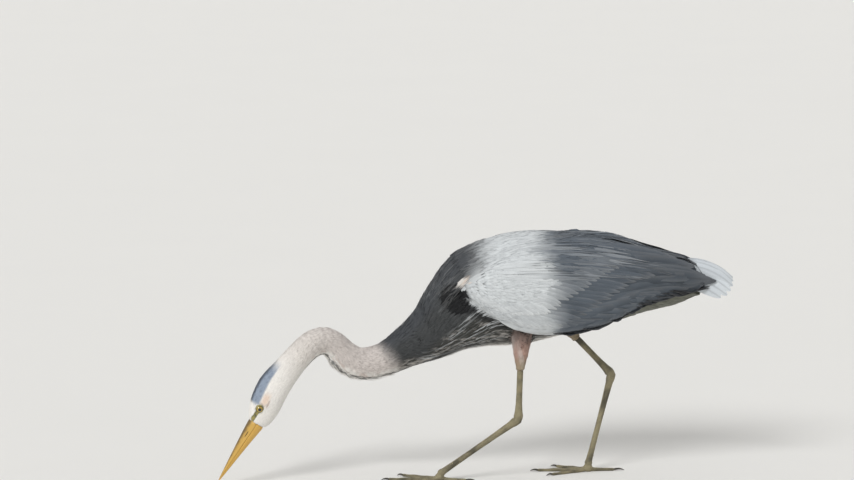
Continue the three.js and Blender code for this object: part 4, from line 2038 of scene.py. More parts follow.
@dataclass
class BodyCoat:
    """The contour feathers of the head, neck and trunk."""

    bird: Bird
    finish: Material
    overlap: float = 5 * MM  # how far the back's feathers root past the wings' upper edges
    tuck: float = 3.2 * MM  # how far tips that reach a wing or thigh pass under its feathers
    bare: float = 0.4  # how bare the skin is where they stop
    cloak_length: float = 1.35  # how much longer the back's feathers are
    cloak_lift: float = 0.6 * MM  # how much higher their tips are
    own: tuple[str, ...] = ("trunk", "head", *NECK_NODES)
    parts: tuple[CoatPart, ...] = (
        CoatPart("coat_face", Slot.HEAD, ("bill", 0.5), ("nape", -40), Form.FACE),
        CoatPart("coat_nape", Slot.HEAD, ("nape", -40), ("kink", 0), Form.NECK),
        CoatPart("coat_neck_upper", Slot.NECK, ("kink", 0), ("neck", -30), Form.NECK),
        CoatPart("coat_neck_lower", Slot.NECK, ("neck", -30), ("breast", 0), Form.NECK),
        CoatPart("coat_breast", Slot.GREY, ("breast", 0), ("shoulder", 30), Form.BODY),
        CoatPart("coat_trunk", Slot.GREY, ("shoulder", 30), ("tail", -20), Form.BODY),
        CoatPart("coat_mantle", Slot.GREY, ("shoulder", -30), ("tail", -16), Form.MANTLE, True),
    )

    def build(self) -> None:
        """Build every part."""
        for seed, part in enumerate(self.parts):
            self._part(part, seed)

    def _part(self, part: CoatPart, seed: int) -> None:
        """Build one part.

        Args:
            part: Where it lies, and its form.
            seed: Its number.
        """
        bird, anatomy, growths = self.bird, self.bird.anatomy, self.bird.growths
        surface = bird.cloak if part.cloaked else bird.form
        ends = anatomy.run_at(part.start), anatomy.run_at(part.stop)
        roots = bird.ring_roots(surface, *ends, lambda run: growths.get("spacing", run), 100 + seed)
        keep = bird.wings[Side.LEFT].beyond_ridge(roots) < self.overlap
        if not part.cloaked:
            covered = keep & (roots[:, 0] > self.covered_from())
            keep = np.isin(anatomy.region(roots), self.own) & (bird.bare(roots) < self.bare) & ~covered
        roots = roots[keep]
        rng = np.random.default_rng(200 + seed)
        run, _, _ = anatomy.spine.locate(roots)
        length = growths.get("length", run) * rng.uniform(0.88, 1.12, len(roots))
        width = growths.get("width", run) * rng.uniform(0.9, 1.1, len(roots))
        rise = growths.get("rise", run)
        lift = (-rise + 0.3 * MM, rng.uniform(-0.25, 0.2, len(roots)) * rise * 0.6)
        if part.cloaked:
            length = length * self.cloak_length
            lift = (-0.5 * rise, lift[1] + self.cloak_lift)
        centres, normals = Layer(surface, bird.lie.body).lay(roots, length, lift, part.vane)
        if not part.cloaked:
            over = ~np.isin(anatomy.region(centres[:, -2]), self.own)
            centres -= normals * (over[:, None] * part.vane.stations() * self.tuck)[..., None]
        clear = bird.clear_of_tail(centres)
        centres, place = centres[clear], anatomy.spine.unwrap(roots[clear])
        coat = Coat(part.name, 300 + seed)
        coat.add(Batch(centres, normals[clear], width[clear], bird.markings(centres), place), part.vane)
        coat.build(part.slot, self.finish)

    def covered_from(self) -> float:
        """Give the x from which the long feathers of the back cover the short ones."""
        run, spine = self.bird.anatomy.run_at(("shoulder", 20)), self.bird.anatomy.spine
        return float(np.interp(run, spine.run, spine.centres[:, 0]))


@dataclass
class ThighCoat:
    """The short soft feathers of the thighs."""

    bird: Bird
    finish: Material
    spacing: float = 4.2 * MM
    length: float = 19 * MM
    width: float = 6.5 * MM
    reach: float = 46 * MM  # a radius that clears the thigh
    root_lift: float = -2.2 * MM
    hem_drop: float = 1.8 * MM  # how far the tips close in on the leg at the end

    def build(self) -> None:
        """Build both thighs."""
        for seed, side in enumerate(Side):
            self._thigh(side, seed)

    def _thigh(self, side: Side, seed: int) -> None:
        """Build one thigh's feathers down its own axis.

        Args:
            side: Which thigh.
            seed: Its number.
        """
        end, knee = self.bird.anatomy.leg_axis(side)
        spine = Spine(np.array([knee, 0.66 * knee + 0.34 * end, 0.33 * knee + 0.67 * end, end]))
        rng = np.random.default_rng(40 + seed)
        roots, row = [], 0
        for run in np.arange(0.0, spine.length - 3 * MM, self.spacing * 0.8):
            ring = spine.ring(self.bird.form, run, self.reach, 64)
            if len(ring) > 8:
                roots.append(resample_ring(ring, self.spacing, 0.5 * (row % 2), rng))
            row += 1
        points = np.vstack(roots)
        points = points[self.bird.anatomy.region(points) == f"thigh_{side}"]
        down = unit(end - knee)
        layer = Layer(self.bird.form, lambda places: np.tile(down, (len(places), 1)))
        share = ramp(spine.locate(points)[0], 0, spine.length)
        size = rng.uniform(0.85, 1.15, len(points)) * (1.15 - 0.45 * share)
        hem = ramp(share, 0.72, 1.0)
        tip_lift = rng.uniform(-0.6, 0.3, len(points)) * MM - self.hem_drop * hem
        lift = (np.full(len(points), self.root_lift), tip_lift)
        centres, normals = layer.lay(points, self.length * size, lift, Form.NECK)
        tint = self.bird.plumage.tint(centres[:, -2], np.full(len(points), f"thigh_{side}"))
        tint = blend(tint, LegFinish.light, 0.7 * hem)
        coat = Coat(f"coat_thigh_{side}", 50 + seed)
        coat.add(Batch(centres, normals, self.width * size, tint, spine.unwrap(points)), Form.NECK)
        coat.build(Slot.THIGH, self.finish)


# ---- Wings and tail ----


class WingMap:
    """Places on a folded wing's outer side: u from the wrist to the tip, v from its lower edge up."""

    CELLS = 90  # steps along the wing at which its outline is measured

    def __init__(self, bird: Bird, side: Side) -> None:
        """Measure the wing's outline in side view.

        Args:
            bird: The bird.
            side: Which wing.
        """
        self.side = side.value
        self.form = bird.form
        self.middle = bird.anatomy.middle
        samples = np.vstack([self._edges(bird, f"{part}_{side}") for part in ("wing", "flight")])
        self.start, self.end = float(samples[:, 0].min()), float(samples[:, 0].max())
        cell = np.clip((self._share(samples) * self.CELLS).astype(int), 0, self.CELLS - 1)
        slices = [samples[cell == i] for i in range(self.CELLS)]
        self.shares = (np.arange(self.CELLS) + 0.5) / self.CELLS
        self.low = np.array([part[:, 2].min() for part in slices])
        self.high = np.array([part[:, 2].max() for part in slices])
        tops = [part[part[:, 2] > part[:, 2].max() - 3 * MM] for part in slices]
        self.ridge = np.array([np.abs(top[:, 1] - self.middle).mean() for top in tops])

    def _share(self, points: Array) -> Array:
        """Give the u of points."""
        return (points[:, 0] - self.start) / (self.end - self.start)

    def beyond_ridge(self, points: Array) -> Array:
        """Give how far outside the wings' upper edges points on the back lie.

        Args:
            points: Places.

        Returns:
            The distances, negative between the wings.
        """
        u = self._share(points)
        over = np.abs(points[:, 1] - self.middle) - np.interp(u, self.shares, self.ridge)
        low = points[:, 2] < np.interp(u, self.shares, self.high) - 45 * MM
        return np.where(low, np.inf, over)

    @staticmethod
    def _edges(bird: Bird, node: str) -> Array:
        """Give points all along a node's edges.

        Args:
            bird: The bird.
            node: The node.

        Returns:
            The points, as N by 3.
        """
        data, mesh = FRAME["nodes"][node].data, bird.anatomy.mesh[node]
        ends = np.array([edge.vertices[:] for edge in data.edges])
        share = np.linspace(0, 1, 16)[:, None, None]
        return (mesh[ends[:, 0]] * (1 - share) + mesh[ends[:, 1]] * share).reshape(-1, 3)

    def place(self, u: Array, v: Array) -> Array:
        """Give points on the wing's outer side.

        Args:
            u: Shares of the wing's length.
            v: Shares of its height there.

        Returns:
            The points, as N by 3.
        """
        x = self.start + u * (self.end - self.start)
        low, high = np.interp(u, self.shares, self.low), np.interp(u, self.shares, self.high)
        z = low + v * (high - low)
        points, inwards = [], np.array([0.0, -self.side, 0.0])
        for px, pz in zip(x, z):
            hit = self.form.cast(np.array([px, self.middle + self.side * 0.3, pz]), inwards)
            if hit is None:
                guess = np.array([[px, self.middle + self.side * 0.05, pz]])
                hit = np.array([px, self.form.nearest(guess)[0][0][1], pz])
            points.append(hit)
        return np.array(points)

    def unplace(self, points: Array) -> tuple[Array, Array]:
        """Give the u and v of points.

        Args:
            points: Places.

        Returns:
            Their u and v.
        """
        u = self._share(points)
        low, high = np.interp(u, self.shares, self.low), np.interp(u, self.shares, self.high)
        return u, (points[:, 2] - low) / (high - low)


Line = tuple[tuple[float, float], ...]


@dataclass(frozen=True)
class Tract:
    """A row of large wing feathers, whose roots and tips lie on two lines of u and v."""

    name: str
    count: int
    roots: Line
    tips: Line
    width: tuple[float, float]  # of the first and the last, in millimetres
    lift: tuple[float, float]  # of roots and tips over the outer surface, in millimetres
    step: float  # how much higher the last lies than the first, in millimetres
    tint: Colour
    vane: Vane
    roll: float = 0.05


WING_TRACTS = (
    Tract(
        "primaries", 8, ((0.40, 0.16), (0.50, 0.34)), ((0.84, -0.03), (0.95, 0.02), (1.035, -0.1)),
        (20, 24), (-4.2, -3.4), 0.6, Plumage.FLIGHT, Form.FLIGHT,
    ),
    Tract(
        "dark_secondaries", 16, ((0.09, 0.12), (0.28, 0.06), (0.50, 0.16)),
        ((0.26, 0.03), (0.56, 0.005), (0.90, -0.01)),
        (18, 20), (-4.0, -3.2), 0.6, Plumage.FLIGHT, Form.FLIGHT,
    ),
    Tract(
        "secondaries", 18, ((0.07, 0.20), (0.26, 0.12), (0.52, 0.32)),
        ((0.30, 0.06), (0.60, 0.03), (0.92, 0.12)),
        (24, 28), (-3.2, -2.2), 1.0, Plumage.SLATE, Form.FLIGHT,
    ),
    Tract(
        "tertials", 10, ((0.36, 0.30), (0.50, 0.62), (0.44, 0.90)),
        ((0.92, 0.15), (1.03, 0.70), (0.88, 0.90)),
        (28, 36), (-4.4, -1.2), 1.2, Plumage.SLATE, Form.FLIGHT,
    ),
    Tract(
        "greater_coverts", 30, ((0.05, 0.28), (0.26, 0.26), (0.50, 0.74)),
        ((0.19, 0.10), (0.46, 0.12), (0.78, 0.56)),
        (13, 17), (-2.2, -1.0), 0.9, Plumage.SLATE, Form.COVERT,
    ),
    Tract(
        "median_coverts", 34, ((0.03, 0.42), (0.24, 0.40), (0.46, 0.86)),
        ((0.15, 0.20), (0.36, 0.26), (0.66, 0.70)),
        (11, 15), (-2.0, -0.5), 0.7, Plumage.PALE_SLATE, Form.COVERT,
    ),
)
FLIGHT_TRACTS = 4  # how many of them are flight feathers
UNDER_VOXEL = 2.4 * MM  # size of the faces between the long feathers


@dataclass
class Wing:
    """One folded wing: rows of flight feathers and coverts, and small coverts over its front."""

    bird: Bird
    side: Side
    finish: Material
    spacing: float = 5.4 * MM
    length: float = 30 * MM
    width: float = 8.5 * MM
    own: float = 0.12  # how far a long feather's colour is its row's, and not its place's
    free: float = 0.95  # where long feathers leave the wing's surface, as a share of its length
    overlap: float = 3 * MM  # how far the small coverts root past the wing's upper edge
    front: float = 0.13  # the u to which they cover the flight feathers' node
    # The small coverts' lower edge: v at these u.
    hem_u: tuple[float, ...] = (0.0, 0.07, 0.13, 0.26, 0.5, 1.0)
    hem_v: tuple[float, ...] = (-0.5, -0.4, 0.26, 0.36, 0.78, 0.9)

    def build(self) -> None:
        """Build the rows and the small coverts."""
        seed = 60 if self.side is Side.LEFT else 70
        under_layer(self.bird, [f"flight_{self.side}"], f"wing_under_{self.side}")
        rows = Coat(f"flight_feathers_{self.side}", seed)
        for tract in WING_TRACTS[:FLIGHT_TRACTS]:
            self._row(rows, tract, seed)
        rows.build(Slot.FLIGHT, self.finish, (f"flight_{self.side}",))
        coverts = Coat(f"wing_coverts_{self.side}", seed + 1)
        for tract in WING_TRACTS[FLIGHT_TRACTS:]:
            self._row(coverts, tract, seed + 2)
        self._small(coverts, seed + 3)
        coverts.build(Slot.GREY, self.finish)

    def _row(self, coat: Coat, tract: Tract, seed: int) -> None:
        """Lay one tract from its roots to its tips.

        Args:
            coat: The piece it joins.
            tract: The row.
            seed: For its random draws.
        """
        rng = np.random.default_rng(seed + tract.count)
        wing = self.bird.wings[self.side]
        share = np.linspace(0, 1, tract.count)
        root_u, root_v = along_line(tract.roots, share)
        tip_u, tip_v = along_line(tract.tips, share)
        tip_u = tip_u + rng.normal(0, 0.006, tract.count)
        roots, tips = wing.place(root_u, root_v), wing.place(tip_u, tip_v)
        aim = tips - roots
        raised = share * tract.step * MM
        lift = (tract.lift[0] * MM + raised, tract.lift[1] * MM + raised)
        layer = Layer(self.bird.form, self.bird.lie.wing)
        length = np.linalg.norm(aim, axis=1) * 1.02
        centres, normals = layer.lay(roots, length, lift, tract.vane, aim, follow=0.0)
        width = (tract.width[0] + (tract.width[1] - tract.width[0]) * share) * MM
        self._free_ends(centres, normals)
        there = self.bird.markings(centres, 0.35, f"wing_{self.side}")
        own = np.full(tract.count, self.own)
        if tract.tint == Plumage.FLIGHT:
            own = ramp(tip_u, 0.34, 0.56)
        tint = there + (np.array(tract.tint) - there) * own[:, None, None]
        tint = tint * rng.uniform(0.95, 1.05, (tract.count, 1, 1))
        roll = np.full(tract.count, tract.roll * -self.side.value)
        place = np.stack([root_u, root_v], axis=1)
        coat.add(Batch(centres, normals, width, tint, place, roll), tract.vane)

    def _free_ends(self, centres: Array, normals: Array) -> None:
        """Let feathers run on straight where they reach past the wing.

        Args:
            centres: Centrelines, which are changed.
            normals: Their normals, likewise.
        """
        u, _ = self.bird.wings[self.side].unplace(centres.reshape(-1, 3))
        past = u.reshape(centres.shape[:2]) > self.free
        for row in range(2, centres.shape[1]):
            step = np.linalg.norm(centres[:, row] - centres[:, row - 1], axis=1)[:, None]
            ahead = centres[:, row - 1] + unit(centres[:, row - 1] - centres[:, row - 2]) * step
            centres[:, row] = np.where(past[:, row, None], ahead, centres[:, row])
            normals[:, row] = np.where(past[:, row, None], normals[:, row - 1], normals[:, row])

    def _small(self, coat: Coat, seed: int) -> None:
        """Scale the front of the wing with small coverts.

        Args:
            coat: The piece they join.
            seed: For their random draws.
        """
        anatomy, wing = self.bird.anatomy, self.bird.wings[self.side]
        ends = anatomy.run_at(("breast", -60)), anatomy.run_at(("rump", 0))
        roots = self.bird.ring_roots(self.bird.form, *ends, lambda run: self.spacing, seed)
        u, v = wing.unplace(roots)
        region = anatomy.region(roots)
        outside = wing.beyond_ridge(roots) > -self.overlap
        own = (region == f"wing_{self.side}") | ((region == f"flight_{self.side}") & (u < self.front))
        keep = own & (v > np.interp(u, self.hem_u, self.hem_v)) & outside
        roots, u = roots[keep], u[keep]
        rng = np.random.default_rng(seed + 1)
        size = rng.uniform(0.9, 1.1, len(roots)) * (0.72 + 0.55 * ramp(u, 0.0, 0.35))
        lift = (np.full(len(roots), -3.4 * MM), rng.uniform(-0.7, 0.1, len(roots)) * MM)
        layer = Layer(self.bird.form, self.bird.lie.wing)
        centres, normals = layer.lay(roots, self.length * size, lift, Form.BODY)
        tint, place = self.bird.markings(centres), np.stack(wing.unplace(roots), axis=1)
        coat.add(Batch(centres, normals, self.width * size, tint, place), Form.BODY)


def under_layer(
    bird: Bird, nodes: Sequence[str], name: str, depth: float = 2.6 * MM, bare_end: float = 0.0
) -> None:
    """Fill between the long feathers with the mass of their hidden parts, set in a little.

    Args:
        bird: The bird.
        nodes: The nodes that the feathers stand for.
        name: The piece's name.
        depth: How far it is set in.
        bare_end: How much of the rear end it leaves to the feathers alone.
    """
    piece = melted_node(nodes, name, UNDER_VOXEL, 2)
    places = vertices(piece) - vertex_normals(piece) * depth
    places[:, 0] = np.minimum(places[:, 0], places[:, 0].max() - bare_end)
    move_vertices(piece, places)
    remesh(piece, UNDER_VOXEL)
    places = vertices(piece)
    paint(piece, "plume", bird.plumage.tint(places, bird.anatomy.region(places)))
    dress(piece, SkinFinish(name).material())
    finish_piece(piece, Slot.FLIGHT)


def along_line(line: Line, share: Array) -> tuple[Array, Array]:
    """Give the u and v at shares along a line of points."""
    at = np.linspace(0, 1, len(line))
    return np.interp(share, at, [p[0] for p in line]), np.interp(share, at, [p[1] for p in line])


@dataclass
class Tail:
    """Twelve tail feathers round an arched fan, the middle ones uppermost."""

    bird: Bird
    finish: Material
    count: int = 12
    width: float = 22 * MM
    spread: float = 96.0  # how far round the arch the outermost lie, in degrees
    half_width: tuple[float, float] = (24 * MM, 31 * MM)  # of the arch, at its root and end
    depth: tuple[float, float] = (38 * MM, 50 * MM)  # of the arch, at its root and end
    short: float = 24 * MM  # how much shorter the outermost are than the middle ones
    root: float = 20 * MM  # how far the roots reach into the body
    # How far in the middle ones lie, and how much further the outermost, in millimetres.
    stack: tuple[float, float] = (0.3, 1.3)
    roll: float = 0.06  # how far the outermost are tilted
    samples: int = 12  # places at which the fan's upper edge is measured

    def build(self) -> None:
        """Lay the feathers' middles round the arch."""
        under_layer(self.bird, ["tail"], "tail_under", 2.0 * MM, 38 * MM)
        mesh = self.bird.anatomy.mesh["tail"]
        low, high = mesh.min(axis=0), mesh.max(axis=0)
        aside = np.linspace(-1, 1, self.count)
        rng = np.random.default_rng(80)
        end = high[0] - 3 * MM - self.short * aside**4 + rng.uniform(-1.2, 0.4, self.count) * MM
        share = Form.TAIL.stations()
        x = low[0] + (end - low[0])[:, None] * share - self.root * (1 - share) ** 2
        along = (x - low[0]) / (high[0] - low[0])
        wide = self.half_width[0] + (self.half_width[1] - self.half_width[0]) * along
        deep = self.depth[0] + (self.depth[1] - self.depth[0]) * along
        turn = np.radians(self.spread * aside)[:, None]
        middle, ridge = (low[1] + high[1]) / 2, np.polyval(self._ridge(), x)
        centres = np.stack([x, middle + wide * np.sin(turn), ridge - deep * (1 - np.cos(turn))], axis=2)
        normals = unit(np.stack([0 * x, deep * np.sin(turn), wide * np.cos(turn)], axis=2))
        centres -= normals * (self.stack[0] + self.stack[1] * np.abs(aside))[:, None, None] * MM
        flat = centres.reshape(-1, 3)
        tint = self.bird.plumage.tint(flat, np.full(len(flat), "tail")).reshape(centres.shape)
        place = np.stack([aside, np.zeros(self.count)], axis=1)
        coat = Coat("tail_feathers", 81)
        width = np.full(self.count, self.width)
        inner, roll = np.abs(aside) < 0.5, -self.roll * aside
        for on, vane in ((inner, Form.TAIL_MIDDLE), (~inner, Form.TAIL)):
            coat.add(Batch(centres[on], normals[on], width[on], tint[on], place[on], roll[on]), vane)
        coat.build(Slot.FLIGHT, self.finish, ("tail",))

    def _ridge(self) -> Array:
        """Give the fan's upper edge in side view, as height by x.

        Returns:
            A polynomial's factors.
        """
        surface = Surface(FRAME["nodes"]["tail"])
        low, high = surface.points.min(axis=0), surface.points.max(axis=0)
        middle, down = (low[1] + high[1]) / 2, np.array([0.0, 0.0, -1.0])
        places = np.linspace(low[0] + 12 * MM, high[0] - 12 * MM, self.samples)
        hits = [surface.cast(np.array([x, middle, 1.0]), down) for x in places]
        kept = np.array([hit for hit in hits if hit is not None])
        return np.polyfit(kept[:, 0], kept[:, 2], 2)


@dataclass(frozen=True)
class PlumeTract:
    """Long loose plumes rooted in a patch of the body."""

    name: str
    slot: Slot
    count: int
    start: tuple[str, float]  # a stop of the spine, and millimetres past it
    stop: tuple[str, float]
    turn: tuple[float, float]  # angles from the back, in degrees, on both sides
    length: tuple[float, float]
    width: float
    lift: tuple[float, float]
    pale: float  # how far the palest of them stand out from the coat
    vane: Vane
    droop: float = 0.0  # how far they turn down out of the body's lie
    cloaked: bool = False  # whether they lie across the grooves of the back


PLUMES = (
    PlumeTract(
        "mantle_plumes", Slot.GREY, 110, ("breast", 10), ("shoulder", 70), (6, 70), (50, 80), 6.0,
        (-2.0, 1.0), 0.12, Form.LANCE, 0.06, True,
    ),
    PlumeTract(
        "scapular_plumes", Slot.GREY, 110, ("shoulder", 0), ("back", 100), (12, 72), (90, 150), 7.0,
        (-1.0, 2.6), 0.34, Form.LANCE, 0.12, True,
    ),
    PlumeTract(
        "breast_plumes", Slot.NECK, 130, ("neck", 30), ("breast", 100), (105, 174), (55, 105), 4.0,
        (-2.5, 1.8), 0.9, Form.HAIR,
    ),
    PlumeTract(
        "throat_plumes", Slot.NECK, 60, ("loop", -10), ("neck", -6), (148, 179), (15, 27), 3.0,
        (-1.6, 4.6), 0.2, Form.HAIR,
    ),
    PlumeTract(
        "undertail_plumes", Slot.GREY, 60, ("rump", -60), ("tail", -22), (104, 178), (40, 58), 12,
        (-2.5, 0.4), 0.0, Form.MANTLE,
    ),
)


@dataclass
class Plumes:
    """The long plumes of the back, breast and undertail."""

    bird: Bird
    finish: Material
    tracts: tuple[PlumeTract, ...] = PLUMES

    def build(self) -> None:
        """Build every tract on both sides."""
        for seed, tract in enumerate(self.tracts):
            self._tract(tract, 90 + seed)

    def _tract(self, tract: PlumeTract, seed: int) -> None:
        """Build one tract.

        Args:
            tract: Where it lies, and its form.
            seed: For its random draws.
        """
        bird, anatomy = self.bird, self.bird.anatomy
        rng, coat = np.random.default_rng(seed), Coat(tract.name, seed + 10)
        surface = bird.cloak if tract.cloaked else bird.form
        layer = Layer(surface, lambda places: bird.lie.body(places) - np.array([0.0, 0.0, tract.droop]))
        ends = anatomy.run_at(tract.start), anatomy.run_at(tract.stop)
        for side in Side:
            run = np.sort(rng.uniform(*ends, tract.count))
            turn = rng.uniform(*tract.turn, tract.count) * side.value
            roots = bird.on_body(surface, run, turn)
            length = rng.uniform(*tract.length, tract.count) * MM
            root_lift = np.full(tract.count, tract.lift[0] * MM)
            tip_lift = tract.lift[1] * MM * rng.uniform(0.3, 1.0, tract.count)
            centres, normals = layer.lay(roots, length, (root_lift, tip_lift), tract.vane, None, 0.3)
            tint = bird.markings(centres, 0.3)
            pale = tract.pale * rng.uniform(0, 1, (tract.count, 1, 1)) ** 2
            tint = tint + (np.array(Plumage.PLUME) - tint) * pale
            width = tract.width * MM * rng.uniform(0.8, 1.15, tract.count)
            on_thigh = np.char.startswith(anatomy.region(centres[:, -3]), "thigh")
            on = bird.clear_of_tail(centres) & ~on_thigh
            place = anatomy.spine.unwrap(roots[on])
            coat.add(Batch(centres[on], normals[on], width[on], tint[on], place), tract.vane)
        coat.build(tract.slot, self.finish)


# ---- Bill, eyes, legs and claws ----


@dataclass
class Bill:
    """The two halves of the bill, with nostril grooves in the upper one."""

    bird: Bird
    voxel: float = 0.62 * MM
    plug: float = 5 * MM  # how far the root reaches back under the face's feathers
    slim: float = 0.8 * MM  # how far it is thinned there
    groove: float = 0.55 * MM  # depth of the groove along the upper half
    nostril: float = 1.1 * MM  # depth of the nostril in it
    CELLS = 60  # steps along the bill at which its edges are measured
    upper: HornFinish = HornFinish("bill_horn_upper")
    lower: HornFinish = HornFinish("bill_horn_lower", linear(214, 170, 82), linear(150, 120, 66), 0.35)

    def build(self) -> None:
        """Build both halves."""
        self._half("bill_upper", self.upper)
        self._half("bill_lower", self.lower)

    def _half(self, node: str, finish: HornFinish) -> None:
        """Melt one half, cut its grooves and mark its ridge.

        Args:
            node: Its node.
            finish: Its finish.
        """
        piece = melted_node([node], node.replace("bill", "beak"), self.voxel, 3)
        places, normals = vertices(piece), vertex_normals(piece)
        head = self.bird.anatomy.head
        local = head.local(places)
        root, tip = local[:, 0].min(), local[:, 0].max()
        share = (local[:, 0] - root) / (tip - root)
        low, high = self._profile(share, local[:, 2])
        height = (local[:, 2] - low) / np.maximum(high - low, 0.4 * MM)
        if node == "bill_upper":
            groove = band(share, 0.10, 0.52, 0.06) * np.exp(-(((height - 0.56) / 0.10) ** 2))
            nostril = band(share, 0.15, 0.245, 0.02) * np.exp(-(((height - 0.52) / 0.07) ** 2))
            shift = -self.groove * groove - self.nostril * nostril
            places = places + normals * (shift * ramp(np.abs(normals @ head.right), 0.3, 0.7))[:, None]
            # The nostril's added darkness is painted shade in its slit.
            dusk = ramp(height, 0.45, 1.0) * (1 - 0.35 * share) + nostril
        else:
            dusk = ramp(share, 0.45, 1.0) * 0.5 + ramp(height, 0.75, 1.0) * 0.3
        sunk = ramp(share, 0.03, 0.0)[:, None]
        move_vertices(piece, places - sunk * (self.plug * head.forward + self.slim * normals))
        store_value(piece, "ridge", dusk)
        dress(piece, finish.material())
        finish_piece(piece, Slot.BILL, (node,))

    def _profile(self, share: Array, up: Array) -> tuple[Array, Array]:
        """Give the bill's lower and upper edge in side view at every vertex.

        Args:
            share: Places along the bill, from 0 to 1.
            up: Their heights.

        Returns:
            The lower and the upper edge.
        """
        cell = np.clip((share * self.CELLS).astype(int), 0, self.CELLS - 1)
        low = np.array([up[cell == i].min() for i in range(self.CELLS)])
        high = np.array([up[cell == i].max() for i in range(self.CELLS)])
        at = (np.arange(self.CELLS) + 0.5) / self.CELLS
        return np.interp(share, at, low), np.interp(share, at, high)


@dataclass
class Orbit:
    """One eye's place and directions, measured on its node."""

    anatomy: Anatomy
    side: Side
    forward: float  # how far it looks forward

    def __post_init__(self) -> None:
        """Measure the node."""
        head, mesh = self.anatomy.head, self.anatomy.mesh[f"eye_{self.side}"]
        low, high = mesh.min(axis=0), mesh.max(axis=0)
        self.centre = (low + high) / 2
        self.radius = float((high - low).max()) / 2
        self.axis = unit(head.right * self.side.value + head.forward * self.forward)
        self.up = onto_plane(head.up, self.axis)
        self.across = np.cross(self.up, self.axis)

    def place(self, local: Array) -> Array:
        """Turn places from across, up and out of the eye's middle into points."""
        return self.centre + local @ np.stack([self.across, self.up, self.axis])


@dataclass
class Eyes:
    """The eyes, the lids round them, and the collars of skin that carry the lids."""

    bird: Bird
    feathers: Material
    forward: float = 0.16  # how far they look forward
    iris: float = 0.86  # the iris's edge, as a share of the ball's radius
    bulge: float = 0.05  # how far the clear front stands out, likewise
    lid_tube: float = 0.75 * MM
    lid_radius: float = 0.93  # of the lid's ring, as a share of the ball's radius
    lid_out: float = 0.42  # how far out it stands, likewise
    almond: float = 0.10  # how much longer its corners reach
    collar: tuple[tuple[float, float], ...] = ((0.97, 0.36), (1.30, -0.62))  # its edges, out and along
    collar_thick: float = 0.09  # likewise as a share of the ball's radius
    collar_long: float = 1.06  # its length over its height
    collar_grid: tuple[int, int] = (64, 20)  # steps round it and round its section
    tuft: tuple[float, float] = (3.6, 4.6)  # its feathers' length, in millimetres
    tuft_width: float = 2.3 * MM
    clear: float = 1.08  # how far they stay from the axis, as a share of the ball's radius
    finish: EyeFinish = EyeFinish()
    lid_finish: BareSkinFinish = BareSkinFinish("lid")

    def build(self) -> None:
        """Build both sides, with the lids and their collars."""
        ball, lid = self.finish.material(), self.lid_finish.material()
        for side in Side:
            orbit = Orbit(self.bird.anatomy, side, self.forward)
            self._eye(orbit, ball)
            self._lid(orbit, lid)
            self._collar(orbit)

    def _eye(self, orbit: Orbit, material: Material) -> None:
        """Build one eyeball.

        Args:
            orbit: Its place.
            material: Its material.
        """
        deselect()
        bpy.ops.mesh.primitive_uv_sphere_add(segments=48, ring_count=32, radius=orbit.radius)
        eye = named(f"eyeball_{orbit.side}")
        local = vertices(eye)
        off = np.arctan2(np.hypot(local[:, 0], local[:, 1]), local[:, 2])
        store_value(eye, "iris", np.sin(np.minimum(off, math.pi / 2)) / self.iris)
        bulge = 1 + self.bulge * np.exp(-((off / 0.45) ** 2))
        move_vertices(eye, orbit.place(local * bulge[:, None]))
        dress(eye, material)
        finish_piece(eye, Slot.EYE, (f"eye_{orbit.side}",))

    def _lid(self, orbit: Orbit, material: Material) -> None:
        """Build the ring of bare skin round one eye, a little almond-shaped.

        Args:
            orbit: The eye's place.
            material: Its material.
        """
        deselect()
        bpy.ops.mesh.primitive_torus_add(
            major_segments=64,
            minor_segments=12,
            major_radius=orbit.radius * self.lid_radius,
            minor_radius=self.lid_tube,
        )
        ring = named(f"eyelid_{orbit.side}")
        local = vertices(ring)
        if orbit.across @ self.bird.anatomy.head.forward < 0:
            local[:, 0] = -local[:, 0]
        corner = np.abs(np.cos(np.arctan2(local[:, 1], local[:, 0])))
        local[:, 0] *= 1 + self.almond * corner**6
        local[:, 1] *= 0.96
        local[:, 2] += orbit.radius * (self.lid_out - 0.06 * corner**2)
        move_vertices(ring, orbit.place(local))
        dress(ring, material)
        face_outwards(ring)
        finish_piece(ring, Slot.EYE)

    def _collar(self, orbit: Orbit) -> None:
        """Build the rise of skin that carries one eye's lid, from the head out to the lid.

        Args:
            orbit: The eye's place.
        """
        around, section = self.collar_grid
        deselect()
        bpy.ops.mesh.primitive_torus_add(
            major_segments=around, minor_segments=section, major_radius=1.0, minor_radius=0.5
        )
        collar = named(f"orbit_{orbit.side}")
        local = vertices(collar)
        out = np.hypot(local[:, 0], local[:, 1])
        inner, outer = np.array(self.collar)
        thick = unit(np.array([inner[1] - outer[1], outer[0] - inner[0]])) * self.collar_thick
        profile = (inner + outer) / 2 + (out - 1.0)[:, None] * (outer - inner) + 2 * local[:, 2:] * thick
        ring = profile[:, :1] * local[:, :2] / out[:, None] * [self.collar_long, 1.0]
        move_vertices(collar, orbit.place(orbit.radius * np.hstack([ring, profile[:, 1:]])))
        paint(collar, "plume", self.bird.skin_colours(vertices(collar)))
        dress(collar, SkinFinish("orbit").material())
        face_outwards(collar)
        finish_piece(collar, Slot.HEAD)
        self._tufts(orbit, Surface(collar))

    def _tufts(self, orbit: Orbit, surface: Surface) -> None:
        """Cover a collar with the face's smallest feathers, clear of the lid.

        Args:
            orbit: The eye's place.
            surface: The collar's surface.
        """
        bird, grid = self.bird, surface.points.reshape(*self.collar_grid, 3)
        roots = np.vstack([grid[::2, ::2].reshape(-1, 3), grid[1::2, 1::2].reshape(-1, 3)])
        skin, facing = bird.form.nearest(roots)
        outer = dot(surface.nearest(roots)[1], roots - orbit.centre) > 0
        above = dot(roots - skin, facing) > -0.8 * MM
        roots = roots[outer & (bird.bare(roots) < 0.6) & above]
        rng = np.random.default_rng(30)

